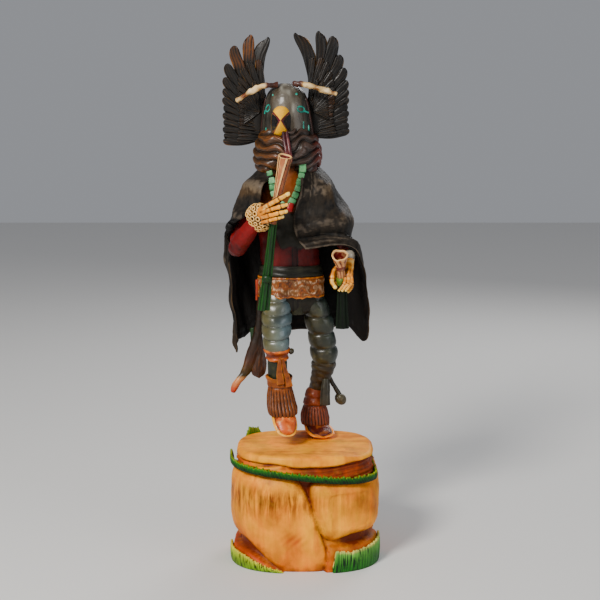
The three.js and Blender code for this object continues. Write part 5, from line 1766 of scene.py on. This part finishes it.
# Painted shade: the left legging is a darker copy of the legging paint, because that leg stands away
# from the light.
shaded_legging_paint = painted_wood(
    "legging_shaded_paint", [(0.0, 27, 25, 16), (0.4, 27, 29, 22), (1.0, 23, 30, 27)],
    (6, 6, 4), [(0.0, 112, 102, 70), (1.0, 78, 92, 90)], shine=0.5, fine=240.0, bump=0.1,
    streaks=(0.4, 1.0, 1.0), streak_scale=150.0, streak_amount=0.16, roughness=-0.05)
piece("legging_left", [quilted_leg([[0, 22, 208, 11, 10.6], [6.5, 24, 195, 9.8, 10.2],
    [10.6, 26, 181, 10.6, 10.2], [13.2, 28, 167, 10.2, 10], [15.2, 30, 153, 10.6, 10.2],
    [14.6, 31, 145, 8.6, 8.8]], [199.5, 185.4, 171.8, 160.0], 2.4, 2.3)], shaded_legging_paint,
    "legging_paint")

# %% [markdown]
# ## Garter and calf
#
# An orange garter grips the right leg under the knee. It is a spool: a light lip, a darker waist
# and a second lip below. The profile is a spline of widths, and the tint is the way down it. Below
# it the calf is plain dark green, and the left leg wears a rough brown band instead.

# %% Garter, calf and knee band
points, T, A = stack([[152.6, -21.2, 5.4, 6.2, 6.2], [153.4, -21.2, 5.4, 8.2, 8.0],
    [154.6, -21.3, 5.4, 8.9, 8.7], [156.0, -21.4, 5.3, 8.3, 8.1], [157.8, -21.5, 5.2, 8.7, 8.5],
    [159.6, -21.6, 5.0, 10.0, 9.7], [161.0, -21.6, 5.0, 10.3, 10.0], [161.9, -21.6, 5.0, 9.4, 9.2],
    [162.1, -21.6, 5.0, 7.0, 7.0]], 90, 170)
marks = noise(points, 2.4)
points = push(points, 0.22 * marks)
points[..., 2] -= 1.1 * np.cos(A)
garter_paint = painted_wood(
    "garter_paint", [(0.0, 150, 80, 36), (0.28, 172, 98, 46), (0.45, 92, 44, 14),
                     (0.6, 120, 60, 20), (0.75, 180, 106, 48), (1.0, 176, 106, 54)],
    (44, 18, 5), (230, 160, 96), shine=0.35, fine=400.0)
piece("garter_right", [closed(tag(points, 0.5 + 0.35 * marks, T))], garter_paint, "leather_paint")
knot, T, A = limb([[-12.6, 4.2, 159.6, 1.6, 2.2], [-10.6, 4.0, 159.4, 2.7, 3.0],
    [-8.9, 4.6, 158.8, 1.6, 2.0]], 30, 36, start=0.2, end=0.2)
knot_paint = painted_wood("knot_paint", (34, 30, 18), (10, 8, 5), (84, 76, 52), shine=0.4)
piece("garter_knot", [closed(tag(push(knot, 0.4 * noise(knot, 2.5)), 0.5 + 0.5 * noise(knot, 2)))],
    knot_paint, "leather_paint")
calf_paint = painted_wood("calf_paint", [(0.0, 32, 34, 23), (1.0, 38, 38, 26)],
                          (8, 9, 6), (78, 74, 52), wear=0.42, fine=260.0)
points, T, A = limb([[-21.4, 6, 157, 7.0, 7.0], [-21.2, 7, 146, 7.6, 7.4], [-20.6, 7, 134, 7.2, 7.2],
    [-20, 7, 126, 6.8, 7.0]], 80, 90)
points = push(points, 0.4 * noise(points, 5))
piece("calf_right", [closed(tag(points, 0.5 + 0.35 * noise(points, 3), T))], calf_paint,
    "legging_paint")
points, T, A = limb([[15.2, 31, 150, 8.4, 8.6], [14.8, 31.4, 145, 9.6, 9.6],
    [13.6, 32, 138.5, 8.6, 9.0], [11.8, 33, 132, 7.2, 7.6], [9.6, 34.2, 124, 6.2, 6.8],
    [8.6, 34.6, 117, 5.8, 6.4]], 120, 110, start=0.03)
wrap_lines = ridges(T * 7 + 0.3 * np.sin(A) + 0.5 * noise(points, 9), 0.6)
points = push(points, 0.5 * wrap_lines - 0.3 + 0.45 * noise(points, 4))
knee_paint = painted_wood(
    "knee_band_paint", [(0.0, 34, 29, 20), (0.5, 38, 28, 17), (1.0, 32, 21, 12)],
    (9, 7, 5), (84, 70, 46), wear=0.4, shine=0.25, fine=260.0, bump=0.2)
piece("shin_left", [carved(points, 0.2 + 0.5 * wrap_lines + 0.25 * noise(points, 3), T)], knee_paint,
    "leather_paint")

# %% [markdown]
# ## Ties
#
# Two long triangular ends of the garter hang in front of the right calf. Each is a flat ribbon that
# starts narrow at the knot and grows wider all the way down, with a raised edge.

# %% Garter ends and the grey tie
tie_paint = painted_wood("tie_paint", [(0.0, 106, 61, 32), (1.0, 124, 74, 40)],
                         (42, 16, 5), (194, 134, 86), fine=380.0)


def tie_end(stations):
    """A flat ribbon, highest along its two edges."""
    points, T, A = limb(stations, 90, 40, start=0.03, end=0.02)
    rim = ease(0.55, 0.95, np.abs(np.cos(A)))
    points = push(points, 0.25 * rim + 0.2 * noise(points, 2.5))
    relief = 0.42 + 0.35 * rim + 0.25 * noise(points, 2.5) - 0.5 * ease(-0.1, -0.6, np.sin(A))
    return carved(points, relief, T)


piece("ties_right", [tie_end([[-19.2, -3.6, 155, 0.9, 0.9], [-19.5, -4.4, 149, 1.5, 1.0],
    [-19.3, -4.8, 143, 2.3, 1.0], [-18.4, -5.4, 135.5, 2.8, 1.0]]),
    tie_end([[-17.0, -3.4, 154.5, 0.9, 0.9], [-15.8, -3.6, 148, 1.3, 1.0],
    [-13.6, -4.0, 141, 2.0, 1.0], [-12.0, -4.4, 133.5, 2.6, 1.1]])], tie_paint, "leather_paint")
grey_tie_paint = painted_wood("grey_tie_paint", [(0.0, 44, 42, 34), (1.0, 40, 36, 28)],
                              (12, 11, 9), (96, 92, 76), wear=0.45, shine=0.35)
piece("tie_left", [ribbon([[16.5, 25.5, 134, 2.6, 2.0], [16.2, 24.2, 127, 3.6, 2.2],
    [15.8, 23.4, 119, 3.9, 2.2], [16.0, 23.2, 112.5, 4.2, 1.8]], folds=0.7)], grey_tie_paint,
    "leather_paint")

# %% [markdown]
# ## Fringed anklets
#
# Each ankle wears a leather collar whose lower half is cut into a fan of strips. The collar is a
# stack of ovals; the strips are ridges |sin| of the angle, which deepen as they go down and fan
# outwards because the ovals grow. The upper rim flares into a thin lip.

# %% Anklets
def anklet(levels, strips, rim_share, lobe=0.0):
    """Stacked ovals with a plain band on top and `strips` fringes below rim_share of the height.

    The fringe hangs `lobe` mm lower in front.
    """
    points, T, A = stack(levels, 150, 500)
    fringe = ease(rim_share, rim_share - 0.12, T)
    cut = ridges(strips * A / (2 * np.pi), 0.4)
    hem = ease(0.0, 0.05, T)
    marks = noise(points, 2.2)
    band_line = np.exp(-((T - rim_share) / 0.025) ** 2)
    points = push(points, fringe * (1.1 * cut - 0.9) * (0.35 + 0.65 * hem) + 0.25 * marks
                  - 0.4 * band_line)
    sag = lobe * fringe * (1 - T) * np.exp(-(np.sin(A / 2) / 0.35) ** 2)
    points[..., 2] += 0.5 * fringe * (1 - cut) * ease(0.1, 0.0, T) - sag
    relief = 0.6 + 0.16 * marks - 0.95 * fringe * (1 - cut) - 0.4 * band_line + 0.15 * ease(
        0.93, 1.0, T)
    return carved(points, relief, T)


anklet_paint = painted_wood(
    "anklet_paint", [(0.0, 92, 54, 27), (0.45, 96, 57, 30), (0.6, 106, 62, 32),
                     (0.9, 104, 60, 29), (1.0, 150, 96, 54)],
    (20, 8, 3), (176, 120, 76), wear=0.45, shine=0.12, fine=400.0, bump=0.15)
piece("anklet_right", [anklet([[111.0, -16.9, -1.0, 9.6, 8.2], [112.2, -17.0, -0.8, 11.0, 9.6],
    [116, -17.4, 0.0, 11.6, 10.6], [122, -18.4, 2.4, 11.0, 10.2], [128.6, -19.1, 4.2, 9.8, 9.6],
    [131.2, -19.3, 4.8, 9.4, 9.4], [134.5, -19.6, 5.6, 9.5, 9.6], [137.4, -19.8, 6.0, 9.2, 9.4],
    [138.4, -19.9, 6.1, 7.0, 7.2]], 24, 0.66, 3.4)], anklet_paint, "leather_paint")
lip, T, A = stack([[134.0, -19.6, 5.8, 8.6, 8.8], [136.5, -19.8, 6.0, 9.6, 9.8],
    [139.2, -20.1, 6.2, 10.6, 10.4], [140.0, -20.2, 6.2, 10.2, 10.0], [139.2, -20.1, 6.2, 9.6, 9.4],
    [136.0, -19.8, 6.0, 8.2, 8.2]], 60, 120)
lip[..., 2] += 2.6 * np.exp(-((A - 5.3) / 0.5) ** 2) * T - 2.2 * np.cos(A) * T
piece("anklet_lip_right", [closed(tag(lip, 0.6 + 0.3 * noise(lip, 2.5), 0.95))], anklet_paint,
    "leather_paint")
dark_anklet_paint = painted_wood(
    "anklet_left_paint", [(0.0, 92, 50, 24), (0.5, 98, 50, 22), (0.75, 84, 40, 18),
                          (1.0, 96, 50, 22)],
    (20, 8, 3), (168, 104, 60), shine=0.25, fine=400.0, bump=0.15)
piece("anklet_left", [anklet([[96.2, 8.6, 31.2, 9.8, 9.6], [97.2, 8.4, 31.4, 11.2, 10.8],
    [103, 7.9, 32.2, 11.2, 10.8], [108.5, 7.8, 32.8, 9.8, 9.6], [111.2, 7.9, 33.2, 9.0, 9.0],
    [113.2, 7.9, 33.4, 9.4, 9.4], [115.8, 8.0, 33.6, 8.8, 8.8], [117.4, 8.1, 33.7, 8.0, 8.2],
    [119.4, 8.2, 33.8, 8.5, 8.6], [122.6, 8.3, 34, 7.4, 7.8], [125, 8.4, 34, 5.6, 6.2]], 26, 0.42)],
    dark_anklet_paint, "leather_paint")

# %% [markdown]
# ## Moccasins
#
# A moccasin is a limb along the foot with a flat oval section. Its top, the vamp, is painted and the
# edge of the sole stands out round it as a cream lip. The lip is a push where the side of the
# section turns under, and the tint says which part is vamp and which is sole.

# %% Moccasins
def moccasin(stations, tilt, lip_height, ledge):
    """A limb whose lip stands out by `ledge` mm where sin(angle) passes lip_height. The tint is 0 on
    the vamp, 0.5 on the lip and 1 under the sole."""
    points, T, A = limb(stations, 150, 140, front=tilt, start=0.16, end=0.12)
    height = np.sin(A) - lip_height * (1 - 0.5 * T)
    lip = np.exp(-(height / 0.2) ** 2)
    seam = np.exp(-((height - 0.34) / 0.1) ** 2)
    marks = noise(points, 2.4)
    pucker = ridges(T * 18, 0.7) * ease(0.2, 0.4, height) * ease(0.9, 0.5, height)
    points = push(points, ledge * lip - 0.45 * seam + 0.2 * marks + 0.2 * pucker)
    tint = np.where(height > 0.26 + 0.3 * ease(0.72, 1.0, T), 0.0, np.where(height > -0.3, 0.5, 1.0))
    relief = 0.52 + 0.3 * marks - 0.45 * seam + 0.25 * lip
    return carved(points, relief, tint)


moccasin_paint = painted_wood(
    "moccasin_paint", [(0.0, 186, 104, 78), (0.2, 204, 122, 90), (0.4, 250, 176, 100),
                       (0.6, 250, 180, 104), (1.0, 244, 168, 92)],
    (84, 34, 12), (250, 212, 160), shine=0.35, fine=380.0)
piece("moccasin_right", [moccasin([[-18.6, 10, 113, 6.4, 6.0], [-17.4, 4, 112.0, 8.0, 7.4],
    [-15.9, -3.0, 108.6, 8.7, 6.8], [-14.8, -9.4, 103.4, 8.0, 5.2], [-14.0, -14.8, 98.2, 4.9, 3.2]],
    (0.0, 0.5, 1.0), -0.1, 1.3)], moccasin_paint, "leather_paint")
# Painted shade: the left moccasin is a darker copy of the moccasin paint, for the foot that stands
# back, away from the light.
dark_moccasin_paint = painted_wood(
    "moccasin_left_paint", [(0.0, 66, 26, 18), (0.2, 78, 32, 22), (0.4, 220, 146, 56),
                            (0.6, 224, 150, 58), (1.0, 212, 138, 50)],
    (28, 10, 6), (214, 140, 96), wear=0.4, shine=0.35, fine=380.0)
heading = math.radians(17)
step = np.array([math.sin(heading), -math.cos(heading)])
foot_rows = [(-15, 3.0, 92.5, 3.4), (-8, 6.6, 94.4, 6.0), (1, 8.6, 94.2, 5.8), (8, 9.8, 92.8, 4.6),
             (14.5, 9.0, 91.4, 3.4), (19.5, 6.0, 90.4, 2.4)]
piece("moccasin_left", [moccasin(
    [[9 + step[0] * t, 30 + step[1] * t, z, w, h] for t, w, z, h in foot_rows], (0.0, 0.0, 1.0),
    0.15, 1.6)], dark_moccasin_paint, "leather_paint")

# %% [markdown]
# ## Fox pelt and tassel
#
# A fox skin hangs behind the right leg and ends in a pale, red-tipped tail, and a ball on a cord
# swings from the robe on the other side. Both are limbs. Fur is a set of long grooves that follow
# the skin, so the noise is stretched along it.

# %% Pelt and tassel
def fur(stations, pitch, rows=150, cols=90):
    """A limb with lengthwise hair: |sin| of the way across, bent by noise."""
    points, T, A = limb(stations, rows, cols, start=0.03, end=0.04)
    hair = ridges(pitch * np.cos(A) + 1.1 * noise(points, 7) + 2.0 * T, 0.7)
    tufts = noise(points, 4)
    points = push(points, 0.35 * hair + 0.5 * tufts - 0.3)
    return points, np.clip(0.1 + 0.55 * hair + 0.25 * tufts, 0, 1), T, A


pelt_paint = painted_wood(
    "pelt_paint", [(0.0, 18, 11, 3), (0.45, 28, 18, 5), (0.72, 56, 32, 10),
                   (0.82, 50, 42, 22), (0.87, 192, 146, 112), (0.93, 160, 74, 54),
                   (1.0, 140, 34, 22)],
    [(0.0, 8, 4, 2), (0.85, 16, 10, 6), (0.9, 120, 50, 40), (1.0, 80, 18, 14)],
    [(0.0, 72, 48, 24), (0.7, 118, 76, 38), (0.85, 120, 104, 70),
     (0.9, 226, 180, 150), (1.0, 200, 84, 64)], shine=0.35, fine=300.0, bump=0.2)
tail, relief, T, A = fur([[-33, 33, 206, 3.6, 2.8], [-35.0, 35.5, 186, 3.4, 2.6],
    [-37.0, 36.5, 168, 3.6, 2.6], [-40.8, 35.5, 153, 5.0, 2.8], [-45.6, 34, 140, 3.8, 2.6],
    [-51.0, 32.5, 132.5, 2.9, 2.4], [-54.8, 31.4, 127, 3.0, 2.5], [-57.0, 31.4, 121, 1.8, 1.5]], 3.0)
drop = 206 - tail[..., 2]
tail_tint = np.interp(drop, [0, 40, 60, 70, 74, 79, 86], [0.0, 0.4, 0.72, 0.8, 0.88, 0.9, 1.0])
lobe, lobe_relief, lobe_T, A = fur([[-35.5, 37, 166, 2.2, 2.0], [-35.8, 36.5, 155, 3.8, 2.4],
    [-36.4, 35.5, 146, 6.2, 2.6], [-37.2, 34.5, 138, 5.8, 2.4], [-39, 34, 133.5, 3.2, 1.6]], 2.6, 90,
    80)
piece("fox_pelt", [closed(tag(tail, relief, tail_tint)),
    closed(tag(lobe, lobe_relief, 0.45 + 0.27 * lobe_T))], pelt_paint, "pelt_paint")
strip_green = painted_wood("hanging_strip_paint", (22, 40, 20), (6, 12, 6), (66, 92, 50),
                           wear=0.4, shine=0.3)
piece("hanging_strip", [ribbon([[-41.0, 40, 172, 2.4, 1.2], [-40.6, 39.5, 163, 2.6, 1.2],
    [-41.2, 39, 154, 1.8, 1.0]])], strip_green, "leaf_paint")
cord, T, A = limb([[13, 36, 146, 1.9, 1.9], [18.5, 36.6, 134.5, 1.7, 1.7], [23, 37.4, 126, 1.7, 1.7],
    [27.8, 38, 118, 1.9, 1.9]], 70, 30)
cord = push(cord, 0.35 * noise(cord, 3))
ball_profile = np.linspace(0.05, np.pi - 0.05, 50)
ball, S, A = turned(np.stack([4.9 - 4.9 * np.cos(ball_profile), 4.0 * np.sin(ball_profile)], -1),
    (31.4, 38.2, 110.6), (25.6, 38, 118.6), 90)
ball = push(ball, 0.5 * noise(ball, 4) + 0.25 * ridges(A * 7 / np.pi, 0.8))
tassel_paint = painted_wood("tassel_paint", [(0.0, 38, 34, 22), (1.0, 82, 76, 60)],
                            (14, 12, 8), (134, 126, 104), wear=0.45, shine=0.4, fine=320.0)
piece("tassel", [closed(tag(cord, 0.5 + 0.3 * noise(cord, 3), 0.0)), closed(tag(ball,
    0.4 + 0.35 * noise(ball, 3), 1.0))], tassel_paint, "pelt_paint")

# %% [markdown]
# ## Size
#
# The last cell prints the size of the solid model beside the size of the painted doll that stands for
# it.

# %% Size
visual_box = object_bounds()
for label, box in (("solid model", cad_box), ("painted doll", visual_box)):
    print(label, [[round(float(v) / MM, 1) for v in corner] for corner in box], "mm")
